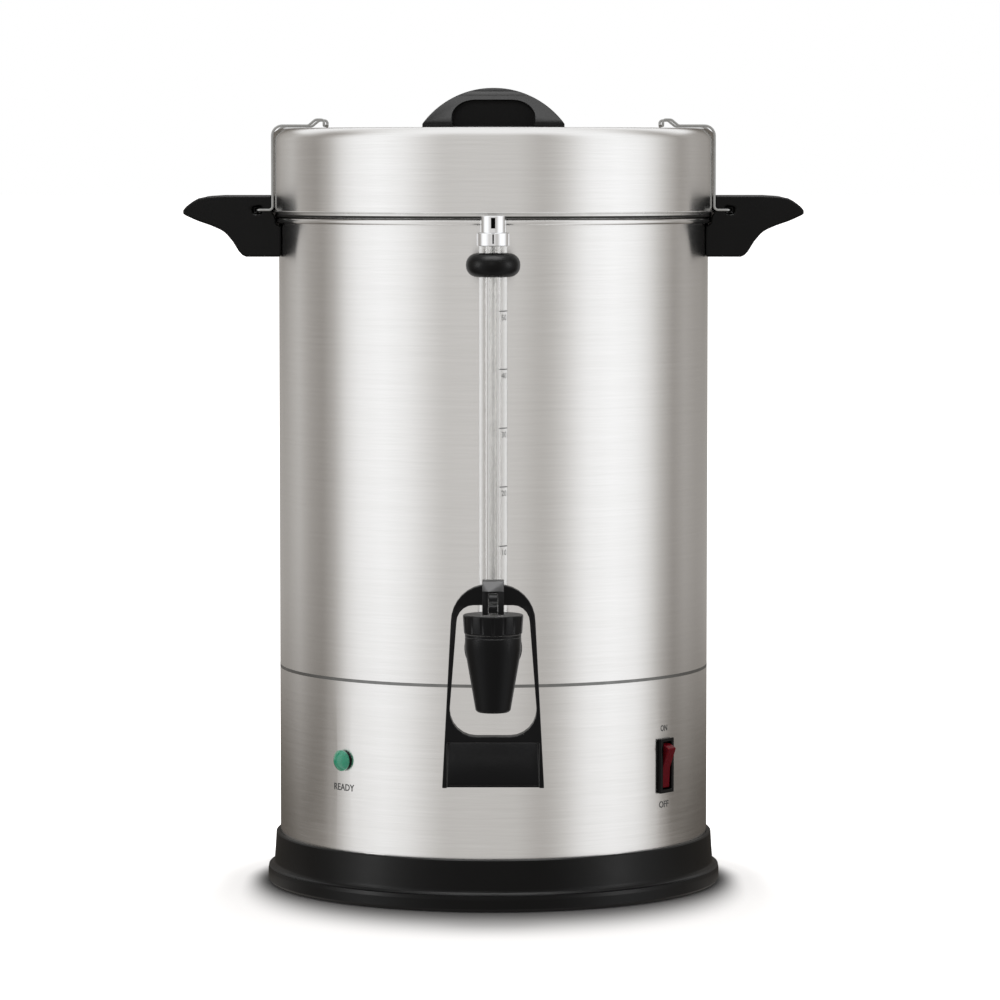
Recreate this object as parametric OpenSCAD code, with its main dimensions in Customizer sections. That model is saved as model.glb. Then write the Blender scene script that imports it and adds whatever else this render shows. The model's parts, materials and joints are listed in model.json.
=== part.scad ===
// Percolating coffee urn: a steel tank on a lower shell and a ring base, with a lid held by two
// wire bails, side handles, a level gauge, a stirrup tap, a rocker switch and the percolator inside.
// Origin on the tank's axis at table level, +Z up, the tap faces -Y. Millimetres.

/* [Tank] */
// Outside diameter of the tank and of the lower shell
tank_d = 240; // [220:1:270]
// Sheet thickness of the tank, the lower shell and the lid
sheet_t = 0.8; // [0.6:0.1:1.2]
// Height of the top of the rolled rim
rim_z = 373; // [360:1:400]
// Diameter of the rolled rim's bead
bead_d = 3.6; // [3:0.1:4.5]
// Height of the seam between the tank and the lower shell
seam_z = 122.4; // [118:0.2:125]
// Width of the seam
seam_gap = 0.8; // [0.5:0.1:1.5]
// Height of the tank's floor
floor_z = 128; // [127:0.5:130]
// Radius of the pump well in the floor
well_r = 27; // [25:0.5:32]
// Depth of the pump well
well_depth = 9; // [7:0.5:12]
// Length of the tank's skirt below its floor
skirt_len = 24; // [15:1:30]

/* [Base] */
// How far the base stands out beyond the tank at the table
base_spread = 7; // [4:0.5:20]
// Height of the top of the base ring
base_h = 28.3; // [26:0.1:32]
// Height of the base's broad foot flange
base_flange_h = 9; // [8:0.5:11]
// Radial thickness of the lip round the lower shell
base_lip_t = 2.3; // [1.5:0.1:3]
// Height of the ledge that carries the lower shell
ledge_z = 18; // [16:0.5:20]
// Thickness of that ledge
ledge_t = 3; // [2:0.5:4]
// Inner radius of that ledge
ledge_ri = 104; // [98:1:108]
// Thickness of the base's wall
base_wall = 3.2; // [2.5:0.1:4.5]
// Height of the base ring's underside
base_lift = 0.8; // [0.5:0.1:1.5]
// Width of the rubber foot ring
foot_w = 3; // [2.5:0.1:4]
// Number of screws and bosses in the base
boss_count = 4; // [3:1:8]
// Radius of a screw boss
boss_r = 5; // [4:0.5:6]
// Thickness of the bottom plate
plate_t = 1; // [0.8:0.1:2]
// Number of vent slots in the bottom plate
slot_count = 16; // [8:1:24]

/* [Lid] */
// Outside radius of the lid
lid_r = 124.2; // [124.2:0.1:125]
// Height of the lid's flat top
lid_top_z = 422.1; // [415:0.5:430]
// Radius of the lid's shoulder
shoulder_r = 6.6; // [5:0.2:10]
// Height of the lid's lower edge above the rim
lid_gap = 2.8; // [1.2:0.1:3]
// Depth of the collar that locates the lid in the tank
collar_depth = 9; // [6:0.5:14]

/* [Lid knob] */
// Radius of the knob's crown, seen from the front
knob_arc_r = 48.8; // [47:0.2:54]
// Height of the knob above the lid
knob_h = 22.7; // [20:0.1:28]
// Width of the knob
knob_w = 79; // [70:0.5:84]
// Depth of the knob at its foot
knob_d = 36; // [30:0.5:44]
// Depth of the knob at its crown
knob_top_d = 20; // [16:0.5:26]
// Radius of the knob's rolled crown
knob_roll = 7; // [3:0.5:8]
// Half width of a finger recess
recess_w = 23; // [18:0.5:26]
// Height of a finger recess
recess_h = 14.6; // [12:0.1:15.4]
// Height of a recess's lower edge above the lid
recess_foot = 1.2; // [1:0.1:1.8]
// Thickness of the web between the two recesses
web_t = 7; // [5:0.5:10]

/* [Handles] */
// Span over both handle tips
handle_span = 345; // [330:1:370]
// Width of a handle
handle_w = 48; // [40:1:56]
// Height of a handle's flat top above the rim
handle_rise = 12; // [10:0.5:14]
// Height of a handle, top to underside
handle_h = 34; // [30:0.5:40]
// Radius of a handle screw
handle_screw_r = 2; // [1.5:0.1:2.5]

/* [Bails] */
// Diameter of the bail wire
wire_d = 2.2; // [1.8:0.1:2.6]
// Distance of the bail pivots outside the lid's edge
bail_pivot_out = 6.8; // [6:0.1:9]
// Height of a bail's pivot above the rim
bail_pivot_rise = 4; // [3:0.5:5]
// Radius of the bends in the wire
wire_bend = 2; // [1.8:0.1:2.1]

/* [Level gauge] */
// Outside diameter of the gauge tube
tube_d = 15.2; // [14:0.1:16]
// Bore of the gauge tube
tube_bore = 5.6; // [4:0.2:8]
// Distance of the tube's axis from the tank's wall
tube_offset = 14.6; // [14:0.1:17]
// Height of the middle of the upper tube holder
holder_z = 348.8; // [335:0.5:352]
// Height of the tube holder
holder_h = 12.7; // [11:0.1:14]
// Height of the lower edge of the gauge cap
cap_z = 359; // [357:0.5:362]
// Diameter of the gauge cap's collar
cap_d = 17.8; // [17:0.1:19]
// Diameter of the gauge cap's neck
cap_neck_d = 12.6; // [11:0.1:13]

/* [Tap] */
// Distance of the tap's axis from the tank's wall
tap_offset = 45; // [44:0.5:50]
// Height of the shank's axis
shank_z = 143.5; // [143:0.5:146]
// Radius of the shank
shank_r = 9; // [8:0.25:9.5]
// Bore radius of the shank
shank_bore = 5; // [4:0.25:6]
// Height of the spout's lower end
spout_z = 113.4; // [110:0.2:118]
// Height of the bonnet's lower edge
bonnet_z = 153.4; // [152:0.2:155]
// Height of the bonnet
bonnet_h = 13.1; // [12:0.1:15]
// Radius of the bonnet
bonnet_r = 16; // [15.5:0.1:17]
// Number of grips round the bonnet
grip_count = 16; // [12:1:36]
// Radius of the spout's lower end
spout_r = 9.3; // [8.5:0.1:10]
// Radius of the valve stem
stem_r = 3.5; // [3:0.1:4]
// Height of the stem's head above the bonnet
head_h = 16.7; // [16:0.1:20]
// Width of the stem's head
head_w = 11.4; // [11:0.1:13]
// Width of the fork's slot in the head
fork_w = 5.2; // [4.6:0.1:6]
// Height of the lever's pin above the bonnet
pin_rise = 5.6; // [5:0.1:6.5]
// Radius of the lever's pin
pin_r = 1.5; // [1.2:0.1:1.8]
// Distance of the cam's toe in front of the pin
toe_reach = 8; // [7:0.25:9]
// Half width of the lever's arch at its top
lever_top_w = 22.5; // [22:0.1:25]
// Half width of the lever's plate at its foot
lever_foot_w = 27; // [25:0.1:30]
// Height of the lever's lower end
lever_z = 73; // [68:0.5:78]
// Height of the lever's push plate
lever_plate_h = 27; // [22:0.5:30]
// Thickness of the lever's arms and plate
lever_t = 2.6; // [2.2:0.1:3]

/* [Switch and light] */
// Angle of the rocker switch from the front
switch_a = 51.5; // [45:0.5:60]
// Height of the middle of the rocker switch
switch_z = 73.5; // [65:0.5:80]
// Height of the switch's bezel
bezel_h = 30; // [29:0.5:34]
// Width of the switch's bezel
bezel_w = 14; // [13:0.5:18]
// Angle between the rocker's two places
rocker_travel = 24; // [20:1:26]
// Angle of the ready light from the front
light_a = -42.9; // [-50:0.1:-38]
// Height of the ready light
light_z = 78; // [70:0.5:90]
// Radius of the ready light's lens
lens_r = 5.7; // [4.9:0.1:6.5]

/* [Power inlet] */
// Height of the power inlet's middle
inlet_z = 74; // [65:0.5:80]
// Height of the inlet's flange
inlet_flange_h = 50; // [48:0.5:52]
// Width of the inlet's flange
inlet_flange_w = 23; // [22.5:0.5:26]
// Distance between the inlet's two screws
inlet_screw_pitch = 40; // [39:0.5:41]

/* [Percolator] */
// Outside radius of the pump tube
pump_r = 4.75; // [4:0.25:5.5]
// Height of the pump tube's upper end
pump_top_z = 352; // [345:1:356]
// Radius of the coffee basket
basket_r = 82; // [70:1:95]
// Height of the basket's floor
basket_z = 258; // [240:1:265]
// Depth of the basket
basket_h = 70; // [60:1:78]
// Radius of the holes in the basket and its lid
basket_hole_r = 1.25; // [0.8:0.05:1.5]

/* [Clearances] */
// Radial clearance of a running pin or shaft
run_fit = 0.06; // [0.02:0.01:0.09]
// Clearance between pieces that are pushed or laid together
slip_fit = 0.15; // [0.05:0.05:0.2]
// Gap at a curved seat that is clamped tight
seat_gap = 0.1; // [0.05:0.05:0.2]
// Clearance between curved pieces that move apart
free_gap = 0.3; // [0.25:0.05:0.5]

/* [Hidden] */
$fn = 72;
eps = 0.01;

tank_r = tank_d / 2;
tank_ri = tank_r - sheet_t;
base_r = tank_r + base_spread;
bead_r = bead_d / 2;
bead_cr = tank_ri + bead_r;
bead_cz = rim_z - bead_r;
neck_ro = tank_ri - free_gap;
neck_ri = neck_ro - sheet_t;
seam_lo = seam_z - seam_gap / 2;
seam_hi = seam_z + seam_gap / 2;
well_z = floor_z - well_depth;
skirt_z = floor_z - skirt_len;
under_floor = floor_z - sheet_t;
under_well = well_z - sheet_t;

tube_y = -(tank_r + tube_offset);
tap_y = -(tank_r + tap_offset);
tube_r = tube_d / 2;
pin_z = bonnet_z + bonnet_h + pin_rise;

// ---------- helpers ----------

function arc(c, r, a0, a1, n = 8) =
    [for (i = [0 : n]) c + r * [cos(a0 + (a1 - a0) * i / n), sin(a0 + (a1 - a0) * i / n)]];
function unit(v) = v / norm(v);

// The points of an outline's right half, with those of its left half after them
function mirrored(half) =
    concat(half, [for (i = [len(half) - 1 : -1 : 0]) [-half[i][0], half[i][1]]]);

// A ring of copies about the Z axis
module around(count, start = 0) {
    for (i = [0 : count - 1]) rotate([0, 0, start + 360 * i / count]) children();
}

// Places children on the shell's surface: X along it, Y up, Z outwards
module on_shell(a, z, r = tank_r) {
    rotate([0, 0, a]) translate([0, -r, z]) rotate([90, 0, 0]) children();
}

// Places children that are drawn in the XZ plane and stand out towards +Y
module upright() {
    rotate([90, 0, 0]) children();
}

module block(size, pos) {
    translate(pos - size / 2) cube(size);
}

// A round rod between two points
module rod(p, q, r) {
    d = q - p;
    translate(p)
        rotate([0, acos(d[2] / norm(d)), atan2(d[1], d[0])])
            cylinder(r = r, h = norm(d));
}

// A quarter turn of wire that starts at p along d1 and ends along n
module elbow(p, d1, n, bend, r) {
    z = cross(-n, d1);
    c = p + bend * n;
    multmatrix([
        [-n[0], d1[0], z[0], c[0]],
        [-n[1], d1[1], z[1], c[1]],
        [-n[2], d1[2], z[2], c[2]],
        [0, 0, 0, 1]
    ])
        rotate_extrude(angle = 90) translate([bend, 0]) circle(r, $fn = 24);
}

// A bent wire through the points: a corner with a bend of 0 gets a ball instead
module wire(pts, bends, r) {
    n = len(pts);
    dirs = [for (i = [0 : n - 2]) unit(pts[i + 1] - pts[i])];
    for (i = [0 : n - 2]) {
        to = pts[i + 1] - dirs[i] * bends[i + 1];
        rod(pts[i] + dirs[i] * bends[i], to, r, $fn = 24);
        if (bends[i + 1] > 0) elbow(to, dirs[i], dirs[i + 1], bends[i + 1], r);
        else if (i < n - 2) translate(pts[i + 1]) sphere(r * 1.03, $fn = 24);
    }
}

// A pan head screw along +Z: the shank reaches up, the head lies below z = 0
module screw(r, len, head_r, head_h) {
    cylinder(r = r, h = len, $fn = 24);
    translate([0, 0, -head_h])
        difference() {
            rotate_extrude($fn = 36)
                polygon(concat(
                    [[0, 0], [0, head_h], [head_r, head_h]],
                    arc([head_r - head_h * 0.7, head_h * 0.7], head_h * 0.7, 0, -90, 5)
                ));
            block([head_r * 1.2, 0.8, 1.2], [0, 0, 0]);
            block([0.8, head_r * 1.2, 1.2], [0, 0, 0]);
        }
}

// ---------- base ----------

boss_pcd_r = ledge_ri + boss_r + 2;
boss_h = 9;
boss_z = ledge_z - ledge_t - boss_h;
plate_screw_r = 1.95;
plate_screw_bite = 7;
plate_screw_head_r = 3.8;
plate_screw_head_h = 2.2;
base_ro = tank_r + slip_fit + base_lip_t;
flare_r = 3.2;
foot_mid_r = base_r - 3.6;

module base_ring() color([0.06, 0.06, 0.06]) {
    difference() {
        rotate_extrude($fn = 120)
            polygon(concat(
                [
                    [base_r - base_wall - 4, base_lift],
                    [base_r - 1, base_lift],
                    [base_r, base_lift + 1.2],
                    [base_r, base_flange_h - 2]
                ],
                arc([base_ro + 1 + flare_r, base_flange_h + flare_r], flare_r, 270, 180, 6),
                [
                    [base_ro, base_h - 0.6],
                    [base_ro - 0.6, base_h],
                    [tank_r + slip_fit, base_h],
                    [tank_r + slip_fit, ledge_z],
                    [ledge_ri, ledge_z],
                    [ledge_ri, ledge_z - ledge_t],
                    [tank_r - 1, ledge_z - ledge_t]
                ]
            ));
        translate([0, 0, base_lift - 1])
            difference() {
                cylinder(r = foot_mid_r + foot_w / 2 + slip_fit, h = 2.2, $fn = 120);
                translate([0, 0, -1])
                    cylinder(r = foot_mid_r - foot_w / 2 - slip_fit, h = 4.2, $fn = 120);
            }
    }
    around(boss_count, 45)
        translate([boss_pcd_r, 0, boss_z])
            difference() {
                cylinder(r = boss_r, h = boss_h);
                translate([0, 0, -1])
                    cylinder(r = plate_screw_r + run_fit, h = plate_screw_bite + 2, $fn = 24);
            }
}

module foot_ring() color([0.12, 0.12, 0.12])
    difference() {
        cylinder(r = foot_mid_r + foot_w / 2, h = base_lift + 1.2, $fn = 120);
        translate([0, 0, -1])
            cylinder(r = foot_mid_r - foot_w / 2, h = base_lift + 3.2, $fn = 120);
    }

vent_len = 22;
vent_w = 3.2;
vent_pcd_r = 78;

module bottom_plate() color([0.62, 0.63, 0.64])
    translate([0, 0, boss_z - plate_t])
        difference() {
            cylinder(r = boss_pcd_r + boss_r, h = plate_t, $fn = 120);
            around(boss_count, 45)
                translate([boss_pcd_r, 0, -1])
                    cylinder(r = plate_screw_r + slip_fit, h = plate_t + 2, $fn = 24);
            around(slot_count)
                block([vent_len, vent_w, plate_t + 2], [vent_pcd_r, 0, plate_t / 2]);
            translate([0, 0, -1]) cylinder(r = tie_r + slip_fit, h = plate_t + 2);
        }

module bottom_screws() color([0.7, 0.7, 0.7])
    around(boss_count, 45)
        translate([boss_pcd_r, 0, boss_z - plate_t])
            screw(plate_screw_r, plate_t + plate_screw_bite, plate_screw_head_r, plate_screw_head_h);

module lower_shell() color([0.75, 0.75, 0.76])
    difference() {
        translate([0, 0, ledge_z]) cylinder(r = tank_r, h = seam_lo - ledge_z, $fn = 120);
        translate([0, 0, ledge_z - 1])
            cylinder(r = tank_ri, h = seam_lo - ledge_z + 2, $fn = 120);
        on_shell(light_a, light_z) cylinder(r = light_neck_r + slip_fit, h = 10, center = true);
        on_shell(switch_a, switch_z)
            cube([switch_w + 2 * slip_fit, switch_h + 2 * slip_fit, 12], center = true);
        on_shell(180, inlet_z) {
            cube([inlet_w + 2 * slip_fit, inlet_h + 2 * slip_fit, 12], center = true);
            for (s = [-1, 1])
                translate([0, s * inlet_screw_pitch / 2, 0])
                    cylinder(r = 1.6, h = 12, center = true, $fn = 24);
        }
    }

// ---------- tank ----------

handle_screw_z = rim_z - 13;
handle_screw_y = 12;
holder_stud_r = 2.9;

module tank() color([0.78, 0.78, 0.79])
    difference() {
        rotate_extrude($fn = 120)
            polygon(concat(
                [
                    [neck_ro, skirt_z],
                    [neck_ro, seam_hi - 0.6],
                    [tank_r, seam_hi],
                    [tank_r, bead_cz - sqrt(bead_r * bead_r - pow(bead_cr - tank_r, 2))]
                ],
                arc([bead_cr, bead_cz], bead_r, -50, 180, 16),
                [
                    [tank_ri, floor_z],
                    [well_r + 4, floor_z]
                ],
                arc([well_r + 4, floor_z - 4], 4, 90, 180, 5),
                [
                    [well_r, well_z],
                    [0, well_z],
                    [0, under_well],
                    [well_r + sheet_t, under_well]
                ],
                arc([well_r + 4, under_floor - 4 + sheet_t], 4 - sheet_t, 180, 90, 5),
                [
                    [tank_ri, under_floor],
                    [tank_ri, seam_hi + 0.6],
                    [neck_ri, seam_hi - 0.6],
                    [neck_ri, skirt_z]
                ]
            ));
        on_shell(0, shank_z) cylinder(r = shank_r + slip_fit, h = 20, center = true);
        on_shell(0, holder_z)
            cylinder(r = holder_stud_r + slip_fit, h = 20, center = true, $fn = 24);
        for (side = [-1, 1], y = [-1, 1])
            translate([side * tank_r, y * handle_screw_y, handle_screw_z])
                rotate([0, 90, 0])
                    cylinder(r = handle_screw_r + slip_fit, h = 20, center = true, $fn = 24);
        translate([0, 0, well_z - 5]) cylinder(r = tie_r + slip_fit, h = 10);
    }

// ---------- heating and wiring ----------

warmer_ro = 95;
warmer_ri = well_r + 6;
warmer_t = 2;
element_r = 3.3;
element_ring_r = 62;
element_z = under_floor - warmer_t - element_r - 0.05;
element_a = 24;
element_boot_r = 4.4;
element_foot_z = 96;
heater_r = 24;
heater_h = 8;
heater_blade_x = 13;
tie_r = 3;
tie_head_z = well_z;
tie_end_z = boss_z - plate_t - 4.6;
blade_len = 9;
thermo_r = 8.5;
thermo_h = 10;
thermo_pos = [0, -45];
fuse_r = 4;
fuse_len = 18;
fuse_x = -45;

function element_foot(s) = [
    element_ring_r * cos(90 + s * element_a),
    element_ring_r * sin(90 + s * element_a),
    element_foot_z
];

module warmer_plate() color([0.8, 0.81, 0.82])
    translate([0, 0, under_floor - warmer_t])
        difference() {
            cylinder(r = warmer_ro, h = warmer_t);
            translate([0, 0, -1]) cylinder(r = warmer_ri, h = warmer_t + 2);
        }

module heating_element() color([0.35, 0.34, 0.33]) {
    translate([0, 0, element_z])
        rotate([0, 0, 90 + element_a])
            rotate_extrude(angle = 360 - 2 * element_a)
                translate([element_ring_r, 0]) circle(element_r, $fn = 24);
    for (s = [-1, 1])
        translate(element_foot(s))
            cylinder(r = element_boot_r, h = element_z + element_r - element_foot_z);
}

module pump_heater() color([0.72, 0.73, 0.74])
    translate([0, 0, under_well - heater_h])
        difference() {
            union() {
                cylinder(r = heater_r, h = heater_h);
                for (s = [-1, 1])
                    block([0.8, 6.3, blade_len + 1], [s * heater_blade_x, 10, (1 - blade_len) / 2]);
            }
            translate([0, 0, -1]) cylinder(r = tie_r + slip_fit, h = heater_h + 2);
        }

// The central bolt that clamps the tank, the heater and the bottom plate together
module tie_rod() color([0.66, 0.66, 0.67]) {
    translate([0, 0, tie_end_z]) cylinder(r = tie_r, h = tie_head_z - tie_end_z);
    translate([0, 0, tie_head_z]) cylinder(r = 7, h = 2.2);
}

module tie_nut() color([0.7, 0.7, 0.7])
    translate([0, 0, boss_z - plate_t - 4])
        difference() {
            cylinder(r = 5.8, h = 4, $fn = 6);
            translate([0, 0, -1]) cylinder(r = tie_r + run_fit, h = 6);
        }

module thermostat() color([0.16, 0.15, 0.15])
    translate([thermo_pos[0], thermo_pos[1], under_floor - warmer_t - thermo_h]) {
        cylinder(r = thermo_r, h = thermo_h - 2);
        translate([0, 0, thermo_h - 2]) cylinder(r = thermo_r + 1.2, h = 2);
        for (s = [-1, 1]) block([0.8, 6.3, blade_len], [s * 4.5, 0, -blade_len / 2]);
    }

module thermal_fuse() color([0.85, 0.83, 0.76])
    translate([fuse_x, 0, under_floor - warmer_t - fuse_r - 0.05])
        rotate([90, 0, 0]) {
            cylinder(r = fuse_r, h = fuse_len, center = true, $fn = 36);
            cylinder(r = 1, h = fuse_len + 14, center = true, $fn = 24);
        }

cable_r = 1.4;
cable_sides = 8;
cable_seat = 0.2;
lay = 10;

// A point at height z and radius r, at an angle from the front
function at_angle(a, z, r) = [r * sin(a), -r * cos(a), z];

// Cuts the corners of a route twice, keeping its ends
function cut_corners(p) = concat(
    [p[0]],
    [for (i = [0 : len(p) - 2], t = [0.25, 0.75]) p[i] * (1 - t) + p[i + 1] * t],
    [p[len(p) - 1]]
);

// A cable that is swept along a route that never runs straight up
module cable(route) {
    p = cut_corners(cut_corners(route));
    n = len(p);
    rings = [for (i = [0 : n - 1])
        let (
            t = unit(p[min(i + 1, n - 1)] - p[max(i - 1, 0)]),
            side = unit(cross(t, [0, 0, 1])),
            rise = cross(side, t)
        )
            for (j = [0 : cable_sides - 1])
                let (a = 360 * j / cable_sides)
                    p[i] + cable_r * (cos(a) * side + sin(a) * rise)];
    polyhedron(
        points = rings,
        faces = concat(
            [[for (j = [cable_sides - 1 : -1 : 0]) j]],
            [for (i = [0 : n - 2], j = [0 : cable_sides - 1])
                let (k = (j + 1) % cable_sides)
                    [
                        i * cable_sides + j,
                        i * cable_sides + k,
                        (i + 1) * cable_sides + k,
                        (i + 1) * cable_sides + j
                    ]],
            [[for (j = [0 : cable_sides - 1]) (n - 1) * cable_sides + j]]
        )
    );
}

module wiring() color([0.75, 0.72, 0.64]) {
    pin_y = tank_r - inlet_depth - inlet_tail - cable_seat;
    pin_x = -inlet_pin_places[0][0];
    blade_r = tank_r - switch_depth - switch_blade - cable_seat;
    lead_z = under_floor - warmer_t - fuse_r - 0.05;
    lead_y = fuse_len / 2 + 7 + cable_seat;
    blade_z = under_floor - warmer_t - thermo_h - blade_len + 2;
    heater_z = under_well - heater_h - blade_len + 2;
    foot = element_foot(1);
    foot_gap = element_boot_r + cable_seat;
    boot_z = element_foot_z + 2;
    cable([
        [pin_x, pin_y, inlet_z + inlet_pin_pitch / 2],
        [pin_x, 8 * lay, inlet_z + inlet_pin_pitch / 2],
        lay * [5, 4, 8.2], lay * [7.4, 0, 8.2], lay * [6, -3.4, 8.1],
        at_angle(switch_a, switch_z + 8, blade_r - 8),
        at_angle(switch_a, switch_z + 8, blade_r)
    ]);
    cable([
        at_angle(switch_a, switch_z - 8, blade_r),
        at_angle(switch_a, switch_z - 8, blade_r - 8),
        lay * [5, -2, 6.8], lay * [6.6, 2, 7.8], [5.6 * lay, foot[1], 9.4 * lay],
        [-foot[0] + foot_gap + 8, foot[1], boot_z],
        [-foot[0] + foot_gap, foot[1], boot_z]
    ]);
    cable([
        [pin_x, pin_y, inlet_z - inlet_pin_pitch / 2],
        [pin_x, 8 * lay, inlet_z - inlet_pin_pitch / 2],
        lay * [-3, 5, 8], lay * [-4.4, 3, 11], [fuse_x, 2.2 * lay, lead_z], [fuse_x, lead_y, lead_z]
    ]);
    cable([
        [fuse_x, -lead_y, lead_z], [fuse_x, -2.2 * lay, lead_z], lay * [-3, -4.4, 11.2],
        [thermo_pos[0] - 14, thermo_pos[1], blade_z],
        [thermo_pos[0] - 4.9 - cable_seat, thermo_pos[1], blade_z]
    ]);
    cable([
        [thermo_pos[0] + 4.9 + cable_seat, thermo_pos[1], blade_z],
        [thermo_pos[0] + 14, thermo_pos[1], blade_z],
        lay * [4, -2.4, 9.8], lay * [4.4, 1.6, 8.8], lay * [1.4, 4.6, 8.8], [-4, foot[1], boot_z],
        [foot[0] + foot_gap + 8, foot[1], boot_z],
        [foot[0] + foot_gap, foot[1], boot_z]
    ]);
    cable([
        at_angle(light_a, light_z, tank_r - 29 - cable_seat), at_angle(light_a, light_z, 76),
        lay * [-1, -5.6, 7.6], lay * [4, -4.6, 7.2],
        at_angle(switch_a, switch_z, blade_r - 8),
        at_angle(switch_a, switch_z, blade_r)
    ]);
    for (s = [-1, 1])
        cable([
            [s * (heater_blade_x + 0.4 + cable_seat), 10, heater_z],
            [s * (heater_blade_x + 8), 10, heater_z],
            lay * [s * 2.4, 3.4, 9.8],
            [-foot[0] * s, foot[1] - foot_gap - 6, boot_z],
            [-foot[0] * s, foot[1] - foot_gap, boot_z]
        ]);
}

// ---------- ready light ----------

light_neck_r = 4.6;

module light_lens() color([0.05, 0.75, 0.45, 0.85])
    on_shell(light_a, light_z)
        rotate_extrude($fn = 48)
            polygon(concat(
                [[0, 1.2], [lens_r, 1.2], [lens_r, 2.2]],
                arc([0, -1.8], norm([lens_r - 0.6, 4.6]), atan2(4.6, lens_r - 0.6), 90, 6)
            ));

module light_body() color([0.08, 0.08, 0.08])
    on_shell(light_a, light_z) {
        cylinder(r = lens_r - 0.2, h = 1.2 - slip_fit);
        translate([0, 0, -22]) cylinder(r = light_neck_r, h = 22);
        translate([0, 0, -4]) cylinder(r = light_neck_r + 3, h = 2.2, $fn = 6);
        for (s = [-1, 1]) block([0.8, 4, 7], [s * 2.4, 0, -25.5]);
    }

// ---------- rocker switch ----------

switch_h = bezel_h - 3;
switch_w = bezel_w - 3;
switch_depth = 20;
switch_blade = 9;
bezel_t = 2;
rocker_w = bezel_w - 5.5;
rocker_r = bezel_h / 2 - 2.3;
rocker_pivot = -3;
rocker_peak = 3.5;
rocker_dip = 1.2;

// Places children at the switch: the rocker's pin lies along local X at z = rocker_pivot
module at_switch() {
    on_shell(switch_a, switch_z) children();
}

module switch_housing() color([0.05, 0.05, 0.05])
    at_switch()
        difference() {
            union() {
                translate([0, 0, bezel_t / 2 + 0.05])
                    cube([bezel_w, bezel_h, bezel_t], center = true);
                translate([0, 0, -switch_depth / 2 + 0.05 + eps])
                    cube([switch_w, switch_h, switch_depth + 2 * eps], center = true);
            }
            translate([0, 0, rocker_pivot])
                rotate([0, 90, 0])
                    cylinder(r = rocker_r + free_gap, h = rocker_w + 2 * free_gap, center = true);
            translate([0, 0, 5 + rocker_pivot])
                cube([rocker_w + 2 * free_gap, 2 * (rocker_r + free_gap), 10], center = true);
            translate([0, 0, rocker_pivot])
                rotate([0, 90, 0])
                    cylinder(r = pin_r + run_fit, h = switch_w - 1, center = true, $fn = 24);
        }

// Drawn half way between its two places, then rocked to OFF: the upper end stands out
module switch_rocker() color([0.65, 0.03, 0.05, 0.9])
    at_switch()
        translate([0, 0, rocker_pivot])
            rotate([rocker_travel / 2, 0, 0]) {
                intersection() {
                    rotate([0, 90, 0]) cylinder(r = rocker_r, h = rocker_w, center = true);
                    rotate([90, 0, 90])
                        translate([0, 0, -rocker_w / 2])
                            linear_extrude(rocker_w)
                                polygon([
                                    [-rocker_r, 0],
                                    [-5, -5],
                                    [5, -5],
                                    [rocker_r, 0],
                                    [rocker_r, rocker_peak - rocker_pivot],
                                    [0, rocker_dip + 0.4 - rocker_pivot],
                                    [-rocker_r, rocker_peak - rocker_pivot]
                                ]);
                }
                rotate([0, 90, 0])
                    cylinder(r = pin_r, h = switch_w - 1.4, center = true, $fn = 24);
            }

module switch_terminals() color([0.8, 0.62, 0.25])
    at_switch()
        for (y = [-8, 0, 8])
            block([6.3, 0.8, switch_blade], [0, y, -switch_depth - switch_blade / 2 + 0.05 - eps]);

// ---------- power inlet ----------

inlet_w = 20;
inlet_h = 28;
inlet_depth = 20;
inlet_tail = 8;
inlet_pin_len = inlet_depth + inlet_tail;
inlet_cavity_w = 16;
inlet_cavity_h = 24;
inlet_cavity_d = 16;
inlet_flange_t = 3;
inlet_pin_pitch = 14;

module power_inlet() color([0.07, 0.07, 0.07])
    on_shell(180, inlet_z)
        difference() {
            union() {
                translate([0, 0, inlet_flange_t / 2 + 0.05])
                    cube([inlet_flange_w, inlet_flange_h, inlet_flange_t], center = true);
                translate([0, 0, -inlet_depth / 2 + 0.05 + eps])
                    cube([inlet_w, inlet_h, inlet_depth + 2 * eps], center = true);
            }
            translate([0, 0, inlet_flange_t + 0.05 - inlet_cavity_d])
                linear_extrude(inlet_cavity_d + 1)
                    polygon([
                        [-inlet_cavity_w / 2, -inlet_cavity_h / 2],
                        [inlet_cavity_w / 2 - 5, -inlet_cavity_h / 2],
                        [inlet_cavity_w / 2, -inlet_cavity_h / 2 + 5],
                        [inlet_cavity_w / 2, inlet_cavity_h / 2 - 5],
                        [inlet_cavity_w / 2 - 5, inlet_cavity_h / 2],
                        [-inlet_cavity_w / 2, inlet_cavity_h / 2]
                    ]);
            for (s = [-1, 1])
                translate([0, s * inlet_screw_pitch / 2, -1]) cylinder(r = 1.7, h = 8, $fn = 24);
            for (p = inlet_pin_places)
                block([2 + 2 * eps, 4 + 2 * eps, 40], [p[0], p[1], -inlet_depth]);
        }

inlet_pin_places = [[1, -7], [1, 7], [5, 0]];

module inlet_pins() color([0.8, 0.78, 0.7])
    on_shell(180, inlet_z)
        for (p = inlet_pin_places)
            block([2, 4, inlet_pin_len], [p[0], p[1], -inlet_pin_len / 2]);

module inlet_screws() color([0.7, 0.7, 0.7])
    on_shell(180, inlet_z)
        for (s = [-1, 1])
            translate([0, s * inlet_screw_pitch / 2, inlet_flange_t + 0.05])
                mirror([0, 0, 1]) screw(1.5, 9, 3, 1.8);

// ---------- handles ----------

handle_top_z = rim_z + handle_rise;
handle_screw_head = 4;
handle_screw_x = sqrt(pow(tank_ri, 2) - pow(handle_screw_y + handle_screw_head, 2)) - seat_gap;
handle_bot_z = handle_top_z - handle_h;
handle_tip_x = handle_span / 2;

handle_reach = handle_tip_x - tank_r;

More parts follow.
